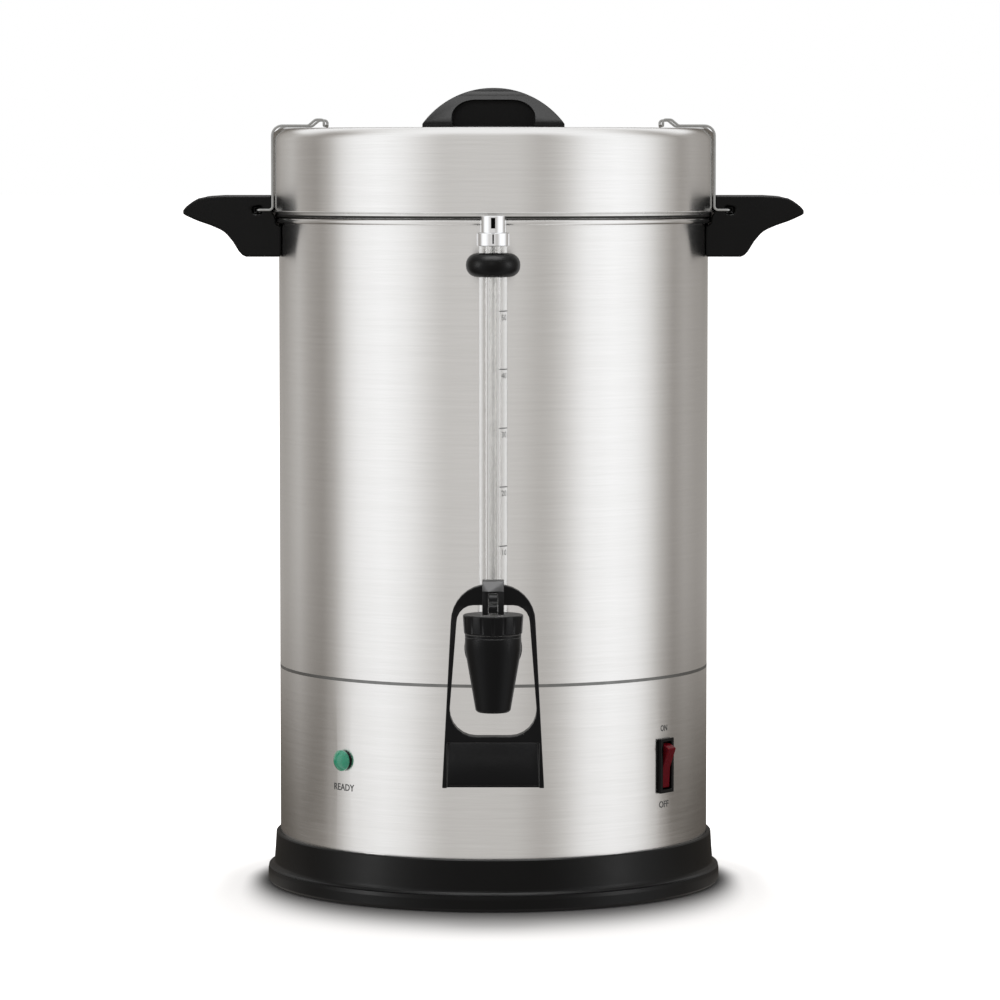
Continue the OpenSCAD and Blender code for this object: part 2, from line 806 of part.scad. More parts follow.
// A point of the right handle: out as a share of its reach, down as a share of its height
function grip(out, down) = [tank_r + handle_reach * out, handle_top_z - handle_h * down];

// Outline of the right handle seen from the front, x measured from the tank's axis
function handle_outline() = [
    [tank_r - 4, handle_top_z],
    grip(0.6, 0),
    grip(0.73, 0.012),
    grip(0.83, 0.045),
    grip(0.884, 0.09),
    grip(0.926, 0.137),
    grip(0.962, 0.182),
    grip(0.99, 0.232),
    grip(1, 0.265),
    grip(0.993, 0.297),
    grip(0.972, 0.322),
    grip(0.945, 0.342),
    grip(0.885, 0.385),
    grip(0.829, 0.421),
    grip(0.7, 0.49),
    grip(0.61, 0.55),
    grip(0.566, 0.59),
    grip(0.53, 0.64),
    grip(0.472, 0.747),
    grip(0.406, 0.912),
    grip(0.37, 0.972),
    grip(0.33, 1),
    [tank_r - 4, handle_bot_z]
];

handle_screw_len = 12;
bail_pivot_x = lid_r + bail_pivot_out;
bail_slot_w = 5.2;
bail_slot_h = 4.2;
bail_slot_d = 2;
bail_foot_len = 8;

module handle() {
    difference() {
        upright() translate([0, 0, -handle_w / 2]) linear_extrude(handle_w)
            polygon(handle_outline());
        rotate_extrude($fn = 120)
            polygon([
                [0, handle_bot_z - 1],
                [tank_r + seat_gap, handle_bot_z - 1],
                [tank_r + seat_gap, rim_z - bead_d - 1],
                [bead_cr + bead_r + 0.2, rim_z - bead_d - 0.3],
                [bead_cr + bead_r + 0.2, rim_z + 0.6],
                [lid_r + 2 * free_gap, rim_z + lid_gap - 0.4],
                [lid_r + 2 * free_gap, handle_top_z + 1],
                [0, handle_top_z + 1]
            ]);
        for (s = [-1, 1]) {
            translate([bail_pivot_x, s * (handle_w / 2 - bail_slot_d / 2), bail_pivot_z])
                cube([bail_slot_w, bail_slot_d + eps, bail_slot_h], center = true);
            translate([bail_pivot_x, s * (handle_w / 2 - bail_foot_len / 2), bail_pivot_z])
                upright()
                    cylinder(r = wire_d / 2 + run_fit, h = bail_foot_len + 2, center = true, $fn = 24);
            translate([tank_r, s * handle_screw_y, handle_screw_z])
                rotate([0, 90, 0])
                    cylinder(
                        r = handle_screw_r + slip_fit / 2,
                        h = 2 * handle_screw_len, center = true, $fn = 24
                    );
        }
    }
}

module handle_right() color([0.06, 0.06, 0.06]) handle();

module handle_left() color([0.06, 0.06, 0.06]) mirror([1, 0, 0]) handle();

module handle_screws() color([0.7, 0.7, 0.7])
    for (side = [0, 180], y = [-1, 1])
        rotate([0, 0, side])
            translate([handle_screw_x, y * handle_screw_y, handle_screw_z])
                rotate([0, 90, 0])
                    screw(handle_screw_r, handle_screw_len, handle_screw_head, 2.2);

// ---------- bails ----------

bail_y = handle_w / 2 + 1 + wire_d / 2;
bail_leg_x = ceil(10 * sqrt(pow(lid_r + wire_d / 2 + free_gap, 2) - pow(bail_y, 2))) / 10;
bail_pivot_z = rim_z + bail_pivot_rise;
bail_top_z = lid_top_z + wire_d / 2 + free_gap;
bail_top_bend = 6;
bail_bump_h = 1.5 * wire_d;
bail_step_bend = round(4.5 * bail_bump_h) / 10;
bail_ramp_x = 0.824 * lid_r;
bail_bump_x = 0.793 * lid_r;
bail_bar_x = 0.755 * lid_r;

// Half of the right bail, from its pivot foot to the middle of its cross bar
module bail_half() {
    bends = [
        0, wire_bend, wire_bend, bail_top_bend, 0, 0, bail_step_bend, bail_step_bend, 0
    ];
    wire([
        [bail_pivot_x, bail_y - bail_foot_len, bail_pivot_z],
        [bail_pivot_x, bail_y, bail_pivot_z],
        [bail_leg_x, bail_y, bail_pivot_z],
        [bail_leg_x, bail_y, bail_top_z],
        [bail_ramp_x, bail_y, bail_top_z],
        [bail_bump_x, bail_y, bail_top_z + bail_bump_h],
        [bail_bar_x, bail_y, bail_top_z + bail_bump_h],
        [bail_bar_x, bail_y, bail_top_z],
        [bail_bar_x, 0, bail_top_z]
    ], bends, wire_d / 2);
}

module bail() {
    bail_half();
    mirror([0, 1, 0]) bail_half();
}

module bail_right() color([0.8, 0.8, 0.81]) bail();

module bail_left() color([0.8, 0.8, 0.81]) mirror([1, 0, 0]) bail();

// ---------- lid ----------

lid_edge_z = rim_z + lid_gap;
seat_z = rim_z + free_gap;
collar_r = tank_ri - 2 * free_gap;
seat_ro = collar_r + 3.4;

module lid() color([0.8, 0.8, 0.81])
    difference() {
        rotate_extrude($fn = 120)
            polygon(concat(
                [[0, lid_top_z]],
                arc([lid_r - shoulder_r, lid_top_z - shoulder_r], shoulder_r, 90, 0, 10),
                [
                    [lid_r, lid_edge_z],
                    [seat_ro, lid_edge_z],
                    [seat_ro, seat_z],
                    [collar_r, seat_z],
                    [collar_r, seat_z - collar_depth],
                    [collar_r - sheet_t, seat_z - collar_depth],
                    [collar_r - sheet_t, seat_z + sheet_t],
                    [seat_ro - sheet_t, seat_z + sheet_t],
                    [seat_ro - sheet_t, lid_edge_z + sheet_t],
                    [lid_r - sheet_t, lid_edge_z + sheet_t]
                ],
                arc(
                    [lid_r - shoulder_r, lid_top_z - shoulder_r],
                    shoulder_r - sheet_t, 0, 90, 10
                ),
                [[0, lid_top_z - sheet_t]]
            ));
        translate([0, 0, lid_top_z]) cylinder(r = knob_screw_r + slip_fit, h = 10, center = true);
    }

knob_screw_r = 2.5;
knob_arc_z = lid_top_z + knob_h - knob_arc_r;
recess_z = lid_top_z + recess_foot;
recess_corner = [0.56 * recess_w, 0.64 * recess_h];

// Right half of a finger recess from the front, with its upper corner rounded
function recess_half() = concat(
    [[recess_w, recess_z]],
    [for (p = arc([0, 0], 1, 0, 90, 8)) [
        recess_w - recess_corner[0] * (1 - p[0]),
        recess_z + recess_h - recess_corner[1] * (1 - p[1])
    ]]
);

module lid_knob() color([0.07, 0.07, 0.07])
    difference() {
        intersection() {
            upright() translate([0, 0, -knob_d])
                linear_extrude(2 * knob_d)
                    intersection() {
                        translate([0, knob_arc_z]) circle(knob_arc_r, $fn = 120);
                        translate([-knob_w / 2, lid_top_z]) square([knob_w, knob_h + 1]);
                    }
            rotate([90, 0, 90]) translate([0, 0, -knob_w])
                linear_extrude(2 * knob_w)
                    polygon(concat(
                        [[-knob_d / 2, lid_top_z], [knob_d / 2, lid_top_z]],
                        [[knob_d / 2, lid_top_z + 4]],
                        arc(
                            [knob_top_d / 2 - knob_roll, lid_top_z + knob_h - knob_roll],
                            knob_roll, 20, 90, 6
                        ),
                        arc(
                            [-knob_top_d / 2 + knob_roll, lid_top_z + knob_h - knob_roll],
                            knob_roll, 90, 160, 6
                        ),
                        [[-knob_d / 2, lid_top_z + 4]]
                    ));
        }
        for (s = [0, 1])
            mirror([0, s, 0])
                translate([0, -web_t / 2, 0])
                    upright() linear_extrude(knob_d)
                        polygon(mirrored(recess_half()));
        translate([0, 0, lid_top_z - 1])
            cylinder(r = knob_screw_r + slip_fit / 3, h = 16);
    }

module knob_washer() color([0.72, 0.72, 0.72])
    translate([0, 0, lid_top_z - sheet_t - 1.2])
        difference() {
            cylinder(r = 9, h = 1.2);
            translate([0, 0, -1]) cylinder(r = knob_screw_r + slip_fit, h = 4);
        }

module knob_screw() color([0.7, 0.7, 0.7])
    translate([0, 0, lid_top_z - sheet_t - 1.2]) screw(knob_screw_r, 14, 4.6, 3);

// ---------- level gauge ----------

port_ro = tube_r + 2.6;
port_z = shank_z + 15.5;
port_floor_z = shank_z + 8;
tube_lo = port_floor_z + free_gap;
tube_hi = cap_z + 4;
seal_h = 2.4;

module gauge_tube() color([0.85, 0.9, 0.92, 0.35])
    translate([0, tube_y, tube_lo])
        difference() {
            cylinder(r = tube_r, h = tube_hi - tube_lo);
            translate([0, 0, -1]) cylinder(r = tube_bore / 2, h = tube_hi - tube_lo + 2);
        }

module gauge_seal() color([0.1, 0.1, 0.1])
    translate([0, tube_y, port_z])
        difference() {
            cylinder(r = port_ro, h = seal_h);
            translate([0, 0, -1]) cylinder(r = tube_r + run_fit, h = seal_h + 2);
        }

holder_r = tube_offset - 0.1;

module gauge_holder() color([0.06, 0.06, 0.06])
    difference() {
        union() {
            translate([0, tube_y, holder_z])
                rotate_extrude($fn = 60)
                    polygon(concat(
                        [[0, -holder_h / 2]],
                        arc([holder_r - 6, -holder_h / 2 + 6], 6, -90, 0, 6),
                        arc([holder_r - 6, holder_h / 2 - 6], 6, 0, 90, 6),
                        [[0, holder_h / 2]]
                    ));
            intersection() {
                on_shell(0, holder_z, tank_ri - 4)
                    cylinder(r = holder_stud_r, h = 10, $fn = 24);
                translate([0, -tank_r, holder_z]) cube([20, 20, 20], center = true);
            }
            on_shell(0, holder_z, tank_ri - 2.2)
                cylinder(r = holder_stud_r + 1.6, h = 1.9, $fn = 24);
        }
        translate([0, tube_y, holder_z - holder_h])
            cylinder(r = tube_r + run_fit, h = 2 * holder_h);
    }

cap_top_z = cap_z + 16;

module gauge_cap() color([0.86, 0.86, 0.87])
    translate([0, tube_y, cap_z])
        difference() {
            rotate_extrude($fn = 60)
                polygon([
                    [0, 0],
                    [cap_d / 2 - 0.4, 0],
                    [cap_d / 2, 0.4],
                    [cap_d / 2, 6.4],
                    [cap_d / 2 - 0.8, 7.2],
                    [cap_neck_d / 2, 7.8],
                    [cap_neck_d / 2, 14.8],
                    [cap_neck_d / 2 - 1.2, 16],
                    [0, 16]
                ]);
            translate([0, 0, -1]) cylinder(r = tube_r + run_fit, h = 5 + free_gap);
            translate([0, 0, -1]) cylinder(r = tube_bore / 2, h = 13);
            block([2.4, cap_d, 6.6], [0, -cap_d / 2, 11]);
            block([2.4, cap_d, 0.8], [0, -cap_d / 2, 4.4]);
        }

// ---------- tap ----------

seat_z0 = spout_z + 14.6;
chamber_r = 10.6;
neck_r = 13.3;
neck_top_z = bonnet_z + bonnet_h - 6;
spout_top_r = bonnet_r - 1.1;
spout_collar_h = 6.5;
spout_lip_h = 3;
seat_hole_r = 4.8;
flange_y = tank_r + 2.6;
shank_in = 15;

module tap_body() color([0.05, 0.05, 0.05])
    difference() {
        union() {
            translate([0, tap_y, 0])
                rotate_extrude($fn = 60)
                    polygon([
                        [0, spout_z],
                        [spout_r - 1.2, spout_z],
                        [spout_r, spout_z + 1.2],
                        [spout_r + 0.3, spout_z + spout_lip_h],
                        [spout_top_r, bonnet_z - spout_collar_h],
                        [spout_top_r, bonnet_z],
                        [neck_r, bonnet_z],
                        [neck_r, neck_top_z],
                        [0, neck_top_z]
                    ]);
            translate([0, tap_y + chamber_r + 1, shank_z])
                rotate([-90, 0, 0])
                    cylinder(r = shank_r, h = -tap_y - chamber_r - 1 - tank_ri + shank_in);
            translate([0, -flange_y, shank_z])
                upright() cylinder(r = 15.5, h = 3);
            translate([0, tube_y, shank_z]) cylinder(r = port_ro, h = port_z - shank_z);
        }
        translate([0, tap_y, 0])
            rotate_extrude($fn = 60)
                polygon([
                    [0, spout_z - 1],
                    [spout_r - 2.4, spout_z - 1],
                    [spout_r - 2.8, spout_z + 9],
                    [seat_hole_r, seat_z0 - 2.5],
                    [seat_hole_r, seat_z0],
                    [chamber_r - 1.8, seat_z0],
                    [chamber_r, seat_z0 + 8],
                    [chamber_r, neck_top_z + 1],
                    [0, neck_top_z + 1]
                ]);
        translate([0, tap_y, shank_z])
            rotate([-90, 0, 0]) cylinder(r = shank_bore, h = -tap_y);
        translate([0, tube_y, shank_z]) cylinder(r = 3.2, h = 30, $fn = 36);
        translate([0, tube_y, port_floor_z]) cylinder(r = tube_r + run_fit, h = 30);
    }

module tap_bonnet() color([0.05, 0.05, 0.05])
    translate([0, tap_y, bonnet_z])
        difference() {
            rotate_extrude($fn = 72)
                polygon([
                    [0, slip_fit],
                    [bonnet_r - 1, slip_fit],
                    [bonnet_r - 0.7, 0.8],
                    [bonnet_r, bonnet_h * 0.66],
                    [bonnet_r, bonnet_h - 1.4],
                    [bonnet_r - 1.2, bonnet_h],
                    [0, bonnet_h]
                ]);
            translate([0, 0, -1]) cylinder(r = neck_r + slip_fit, h = bonnet_h - 4.5);
            translate([0, 0, 0]) cylinder(r = stem_r + run_fit, h = 40, $fn = 36);
            around(grip_count)
                block([1.8, 1.6, bonnet_h * 0.6], [bonnet_r, 0, bonnet_h * 0.3]);
        }

head_z = bonnet_z + bonnet_h + free_gap;
head_top_z = bonnet_z + bonnet_h + head_h;
head_front = 7;
head_back = 7;
stem_foot_z = seat_z0 + 4;
stem_collar_z = seat_z0 + 14;
stem_collar_r = 7;
stem_collar_h = 2;
head_slope_y = 3.4;
head_slope_z = 5.2;
spring_top_z = bonnet_z + bonnet_h - 5.5;

// The stem: a forked head above the bonnet, a guide rod, and a collar under the spring
module valve_stem() color([0.05, 0.05, 0.05])
    difference() {
        union() {
            rotate([90, 0, 90])
                translate([0, 0, -head_w / 2])
                    linear_extrude(head_w)
                        polygon([
                            [tap_y - head_front, head_z],
                            [tap_y + head_back, head_z],
                            [tap_y + head_back, head_top_z],
                            [tap_y - head_front + head_slope_y, head_top_z],
                            [tap_y - head_front, head_top_z - head_slope_z]
                        ]);
            translate([0, tap_y, stem_foot_z])
                cylinder(r = stem_r, h = head_z - stem_foot_z + eps, $fn = 36);
            translate([0, tap_y, stem_collar_z]) cylinder(r = stem_collar_r, h = stem_collar_h);
        }
        translate([-fork_w / 2, tap_y - 2 * head_w, head_z - 1.8])
            cube([fork_w, 4 * head_w, pin_rise + 8]);
        translate([0, tap_y, pin_z])
            rotate([0, 90, 0])
                cylinder(r = pin_r + run_fit / 3, h = 4 * head_w, center = true, $fn = 24);
    }

module lever_pin() color([0.75, 0.75, 0.76])
    translate([0, tap_y, pin_z])
        rotate([0, 90, 0])
            cylinder(r = pin_r, h = head_w - 0.4, center = true, $fn = 24);

module seat_cup() color([0.55, 0.55, 0.52])
    translate([0, tap_y, seat_z0 + free_gap])
        difference() {
            rotate_extrude($fn = 48)
                polygon([
                    [0, 0], [6.6, 0], [8, 1.6], [8, 5], [6.2, 9], [5.4, 12.4], [0, 12.4]
                ]);
            translate([0, 0, stem_foot_z - seat_z0 - free_gap - 0.1])
                cylinder(r = stem_r + slip_fit / 3, h = 30, $fn = 36);
        }

coil_r = 5.2;
coil_wire_r = 0.5;
coil_turns = 5;
coil_sides = 8;
coil_steps = 16;

// Corner of a coil section at step i, side j
function coil_point(i, j, h) =
    let (
        a = 360 * i / coil_steps,
        b = 360 * j / coil_sides,
        r = coil_r + coil_wire_r * cos(b)
    )
        [r * cos(a), r * sin(a), h * i / (coil_turns * coil_steps) + coil_wire_r * sin(b)];

module valve_spring() color([0.75, 0.75, 0.76]) {
    rings = coil_turns * coil_steps;
    lo = stem_collar_z + stem_collar_h + coil_wire_r + 0.1;
    h = spring_top_z - coil_wire_r - 0.1 - lo;
    translate([0, tap_y, lo])
        polyhedron(
            points = [for (i = [0 : rings], j = [0 : coil_sides - 1]) coil_point(i, j, h)],
            faces = concat(
                [[for (j = [0 : coil_sides - 1]) j]],
                [for (i = [0 : rings - 1], j = [0 : coil_sides - 1])
                    let (k = (j + 1) % coil_sides)
                        [
                            i * coil_sides + k,
                            i * coil_sides + j,
                            (i + 1) * coil_sides + j,
                            (i + 1) * coil_sides + k
                        ]],
                [[for (j = [coil_sides - 1 : -1 : 0]) rings * coil_sides + j]]
            )
        );
}

// ---------- lever ----------

arch_rise = 13.5;
arch_clear = 2.6;
arch_depth = [10.6, 17];
arch_fall = [22, 12];
lever_hi = bonnet_z + bonnet_h + arch_rise;
arch_under_z = bonnet_z + bonnet_h + arch_clear;
plate_top_z = lever_z + lever_plate_h;
lever_corner = 14;
shoulder = 20;
tongue_t = fork_w - 0.2;
bridge_front = tap_y + arch_depth[0];
bridge_back = tap_y + arch_depth[1];

function lever_half(z) =
    lever_foot_w + (lever_top_w - lever_foot_w) * (z - lever_z) / (lever_hi - shoulder - lever_z);

// The stirrup seen from the front
module lever_outline() {
    half = concat(
        [[lever_foot_w, lever_z]],
        arc([lever_top_w - shoulder, lever_hi - shoulder], shoulder, 0, 90, 8)
    );
    polygon(mirrored(half));
}

module lever_opening() {
    w_lo = lever_half(plate_top_z) - lever_t;
    w_hi = lever_half(arch_under_z) - lever_t;
    half = concat(
        arc([w_lo - lever_corner, plate_top_z + lever_corner], lever_corner, -90, 0, 6),
        arc([w_hi - 9, arch_under_z - 9], 9, 0, 90, 5)
    );
    polygon(mirrored(half));
}

// The stirrup's depth seen from the side: y along the first axis, z along the second
function lever_side() = [
    [bridge_front, lever_hi + 1],
    [bridge_front, arch_under_z],
    [tap_y + 5, arch_under_z - arch_fall[0]],
    [tap_y + 1, plate_top_z],
    [tap_y - 1, lever_z - 1],
    [tap_y + 8, lever_z - 1],
    [tap_y + 11, plate_top_z],
    [bridge_back, arch_under_z - arch_fall[1]],
    [bridge_back, lever_hi + 1]
];

module lever() color([0.05, 0.05, 0.05])
    difference() {
        union() {
            intersection() {
                upright() translate([0, 0, 0])
                    linear_extrude(-2 * tap_y)
                        difference() {
                            lever_outline();
                            lever_opening();
                            translate([-lever_foot_w + lever_t, lever_z - 1])
                                square([2 * (lever_foot_w - lever_t), lever_plate_h - 2]);
                        }
                rotate([90, 0, 90])
                    translate([0, 0, -lever_foot_w - 1])
                        linear_extrude(2 * lever_foot_w + 2) polygon(lever_side());
            }
            intersection() {
                upright() linear_extrude(-2 * tap_y)
                    difference() {
                        lever_outline();
                        lever_opening();
                    }
                rotate([90, 0, 90])
                    translate([0, 0, -lever_foot_w - 1])
                        linear_extrude(2 * lever_foot_w + 2)
                            polygon([
                                [tap_y + 2, lever_z - 1],
                                [tap_y + 2 + lever_t, lever_z - 1],
                                [tap_y + 4.6 + lever_t, plate_top_z + lever_corner],
                                [tap_y + 4.6, plate_top_z + lever_corner]
                            ]);
            }
            rotate([90, 0, 90])
                translate([0, 0, -tongue_t / 2])
                    linear_extrude(tongue_t) {
                        polygon([
                            [tap_y, pin_z - 3],
                            [bridge_front + 1, pin_z - 3],
                            [bridge_front + 1, pin_z + 2],
                            [tap_y, pin_z + 2]
                        ]);
                        translate([tap_y, pin_z]) circle(4.4, $fn = 36);
                        polygon(concat(
                            [[tap_y, pin_z + 1]],
                            arc(
                                [tap_y - toe_reach, pin_z - toe_drop],
                                toe_r, 120, 270, 8
                            ),
                            [[tap_y, pin_z - pin_rise + free_gap / 2]]
                        ));
                    }
        }
        translate([0, tap_y, pin_z])
            rotate([0, 90, 0]) cylinder(r = pin_r + run_fit, h = 40, center = true, $fn = 24);
    }

toe_r = 2.4;
toe_drop = pin_rise - toe_r - free_gap / 2;

// ---------- tap's fixings ----------

module tap_gasket() color([0.12, 0.12, 0.12])
    difference() {
        translate([0, -flange_y + slip_fit / 3, shank_z])
            rotate([-90, 0, 0]) cylinder(r = 15, h = 6);
        translate([0, 0, shank_z - 20]) cylinder(r = tank_r + seat_gap, h = 40, $fn = 480);
        translate([0, -flange_y, shank_z])
            rotate([-90, 0, 0]) cylinder(r = shank_r + slip_fit / 3, h = 20, center = true);
    }

washer_y = tank_ri - 3.4;

module tap_washer() color([0.6, 0.6, 0.58])
    difference() {
        intersection() {
            translate([0, -tank_r, shank_z])
                rotate([-90, 0, 0]) cylinder(r = 14, h = tank_r - washer_y);
            translate([0, 0, shank_z - 20]) cylinder(r = tank_ri - seat_gap, h = 40, $fn = 480);
        }
        translate([0, -tank_r, shank_z])
            rotate([-90, 0, 0]) cylinder(r = shank_r + slip_fit / 3, h = 40, center = true);
    }

module tap_nut() color([0.72, 0.73, 0.74])
    translate([0, -washer_y + 0.05, shank_z])
        rotate([-90, 0, 0])
            difference() {
                cylinder(r = 14.5, h = 6, $fn = 6);
                translate([0, 0, -1]) cylinder(r = shank_r + run_fit, h = 8);
            }

// ---------- percolator ----------

pump_base_r = well_r - 1.6;
pump_base_h = 8;
pump_lo = well_z + 5;
stop_z = basket_z - 3;

module pump_base() color([0.82, 0.82, 0.83])
    translate([0, 0, well_z + free_gap])
        difference() {
            rotate_extrude()
                polygon([
                    [pump_base_r, 0],
                    [pump_base_r, 1],
                    [9, pump_base_h],
                    [pump_r + slip_fit / 3, pump_base_h],
                    [pump_r + slip_fit / 3, pump_base_h - 1.6],
                    [8.6, pump_base_h - 1.6],
                    [pump_base_r - 2, 0]
                ]);
            around(3)
                block([8, 4, 3], [pump_base_r, 0, 0]);
        }

module pump_tube() color([0.84, 0.84, 0.85])
    difference() {
        union() {
            translate([0, 0, pump_lo]) cylinder(r = pump_r, h = pump_top_z - pump_lo);
            translate([0, 0, stop_z]) cylinder(r = pump_r + 2, h = 3);
        }
        translate([0, 0, pump_lo - 1])
            cylinder(r = pump_r - 0.9, h = pump_top_z - pump_lo + 2);
    }

module coffee_basket() color([0.82, 0.82, 0.83])
    translate([0, 0, basket_z])
        difference() {
            union() {
                rotate_extrude($fn = 96)
                    polygon([
                        [pump_r + slip_fit, 0],
                        [basket_r - 6, 0],
                        [basket_r - 2, 3],
                        [basket_r, basket_h],
                        [basket_r + 2.4, basket_h],
                        [basket_r + 2.4, basket_h + 0.8],
                        [basket_r - 0.8, basket_h + 0.8],
                        [basket_r - 2.8, 3.4],
                        [basket_r - 6.4, 0.8],
                        [pump_r + 1.2, 0.8],
                        [pump_r + 1.2, basket_h + 3],
                        [pump_r + slip_fit, basket_h + 3]
                    ]);
            }
            for (k = [1 : 5])
                around(8 * k)
                    translate([12 + 11 * k, 0, -1])
                        cylinder(r = basket_hole_r, h = 4, $fn = 16);
        }

module basket_lid() color([0.84, 0.84, 0.85])
    translate([0, 0, basket_z + basket_h + 0.8])
        difference() {
            rotate_extrude($fn = 96)
                polygon([
                    [pump_r + 1.2 + slip_fit, 3.8],
                    [20, 3.8],
                    [28, 0],
                    [basket_r + 1.4, 0],
                    [basket_r + 2, 3],
                    [basket_r + 1.2, 3],
                    [basket_r + 0.7, 0.8],
                    [28.4, 0.8],
                    [20.4, 4.6],
                    [pump_r + 1.2 + slip_fit, 4.6]
                ]);
            for (k = [1 : 3])
                around(8 * k, 7)
                    translate([22 + 14 * k, 0, -1])
                        cylinder(r = basket_hole_r, h = 4, $fn = 16);
        }

// ---------- drawing ----------

base_ring();
foot_ring();
bottom_plate();
bottom_screws();
lower_shell();
tank();
warmer_plate();
heating_element();
pump_heater();
tie_rod();
tie_nut();
thermostat();
thermal_fuse();
wiring();
light_lens();
light_body();
switch_housing();
switch_rocker();
switch_terminals();
power_inlet();
inlet_pins();
inlet_screws();
handle_left();
handle_right();
handle_screws();
bail_left();
bail_right();
lid();
lid_knob();
knob_screw();
knob_washer();
gauge_tube();
gauge_holder();
gauge_cap();
gauge_seal();
tap_body();
tap_bonnet();
valve_stem();
seat_cup();
valve_spring();
lever();
lever_pin();
tap_gasket();
tap_washer();
tap_nut();
pump_tube();
pump_base();
coffee_basket();
basket_lid();
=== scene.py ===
# Looks for a percolating coffee urn. Metres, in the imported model's own frame: tap towards -Y.
import json
import math

import bmesh
import bpy
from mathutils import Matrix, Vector

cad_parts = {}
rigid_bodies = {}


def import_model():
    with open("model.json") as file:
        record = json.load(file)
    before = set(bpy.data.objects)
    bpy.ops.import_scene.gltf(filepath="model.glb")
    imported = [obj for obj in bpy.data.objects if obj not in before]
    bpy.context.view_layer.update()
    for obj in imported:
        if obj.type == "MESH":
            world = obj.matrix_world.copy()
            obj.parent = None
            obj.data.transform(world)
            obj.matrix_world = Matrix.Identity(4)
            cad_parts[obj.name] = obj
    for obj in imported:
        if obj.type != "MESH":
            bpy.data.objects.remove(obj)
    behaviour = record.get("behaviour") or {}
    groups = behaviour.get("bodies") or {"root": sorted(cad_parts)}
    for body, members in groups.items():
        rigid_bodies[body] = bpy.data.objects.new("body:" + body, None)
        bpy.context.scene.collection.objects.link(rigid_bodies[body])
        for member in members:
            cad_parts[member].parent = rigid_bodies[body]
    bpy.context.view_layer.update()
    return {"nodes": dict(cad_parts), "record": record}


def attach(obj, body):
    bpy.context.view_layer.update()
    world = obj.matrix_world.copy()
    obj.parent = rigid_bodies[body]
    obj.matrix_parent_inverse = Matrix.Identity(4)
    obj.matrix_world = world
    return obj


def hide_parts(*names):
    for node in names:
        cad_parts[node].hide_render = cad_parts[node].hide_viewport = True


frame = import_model()
nodes = frame["nodes"]
scene = bpy.context.scene
mm = 0.001

cameraView = {
    "place": (0.00364, -2.635, 0.402),
    "tilt": 4.08,  # degrees below level
    "lens": 169.2,
    "sensor": 36.0,
}

cameraData = bpy.data.cameras.new("viewCamera")
cameraData.lens = cameraView["lens"]
cameraData.sensor_width = cameraView["sensor"]
cameraData.clip_end = 60
camera = bpy.data.objects.new("viewCamera", cameraData)
camera.location = cameraView["place"]
camera.rotation_euler = (math.radians(90 - cameraView["tilt"]), 0, 0)
scene.collection.objects.link(camera)
scene.camera = camera
scene.view_settings.view_transform = "Standard"


def addNode(tree, kind, **settings):
    node = tree.nodes.new(kind)
    for key, value in settings.items():
        setattr(node, key, value)
    return node


def wire(tree, source, target):
    tree.links.new(source, target)


# Sets a socket to a plain value, or wires it to another socket
def feed(tree, value, socket):
    if isinstance(value, bpy.types.NodeSocket):
        wire(tree, value, socket)
    else:
        socket.default_value = value


def mathNode(tree, operation, *values):
    node = addNode(tree, "ShaderNodeMath", operation=operation)
    for value, socket in zip(values, node.inputs):
        feed(tree, value, socket)
    return node.outputs[0]


def mixNode(tree, factor, first, second):
    node = addNode(tree, "ShaderNodeMix", data_type="RGBA")
    for label, value in (("Factor", factor), ("A", first), ("B", second)):
        feed(tree, value, node.inputs[label])
    return node.outputs["Result"]


def rangeNode(tree, value, low, high, span=(0, 1), smooth=False):
    node = addNode(tree, "ShaderNodeMapRange", interpolation_type="SMOOTHSTEP" if smooth else "LINEAR")
    wire(tree, value, node.inputs["Value"])
    node.inputs["From Min"].default_value, node.inputs["From Max"].default_value = span
    node.inputs["To Min"].default_value, node.inputs["To Max"].default_value = low, high
    return node.outputs[0]


def noiseNode(tree, vector, scale, detail=2.0, rough=0.5):
    noise = addNode(tree, "ShaderNodeTexNoise")
    sockets = {"Vector": vector, "Scale": scale, "Detail": detail, "Roughness": rough}
    for label, value in sockets.items():
        feed(tree, value, noise.inputs[label])
    return noise.outputs[0]


def splitNode(tree, vector):
    node = addNode(tree, "ShaderNodeSeparateXYZ")
    wire(tree, vector, node.inputs[0])
    return [node.outputs[axis] for axis in "XYZ"]


def shaderMix(tree, factor, first, second):
    node = addNode(tree, "ShaderNodeMixShader")
    for source, socket in zip((factor, first, second), node.inputs):
        wire(tree, source, socket)
    return node.outputs[0]


def newGroup(name, inputs, outputs):
    group = bpy.data.node_groups.new(name, "ShaderNodeTree")
    for label, kind, value in inputs:
        socket = group.interface.new_socket(label, in_out="INPUT", socket_type=kind)
        socket.default_value = value
    for label, kind in outputs:
        group.interface.new_socket(label, in_out="OUTPUT", socket_type=kind)
    return group, group.nodes.new("NodeGroupInput"), group.nodes.new("NodeGroupOutput")


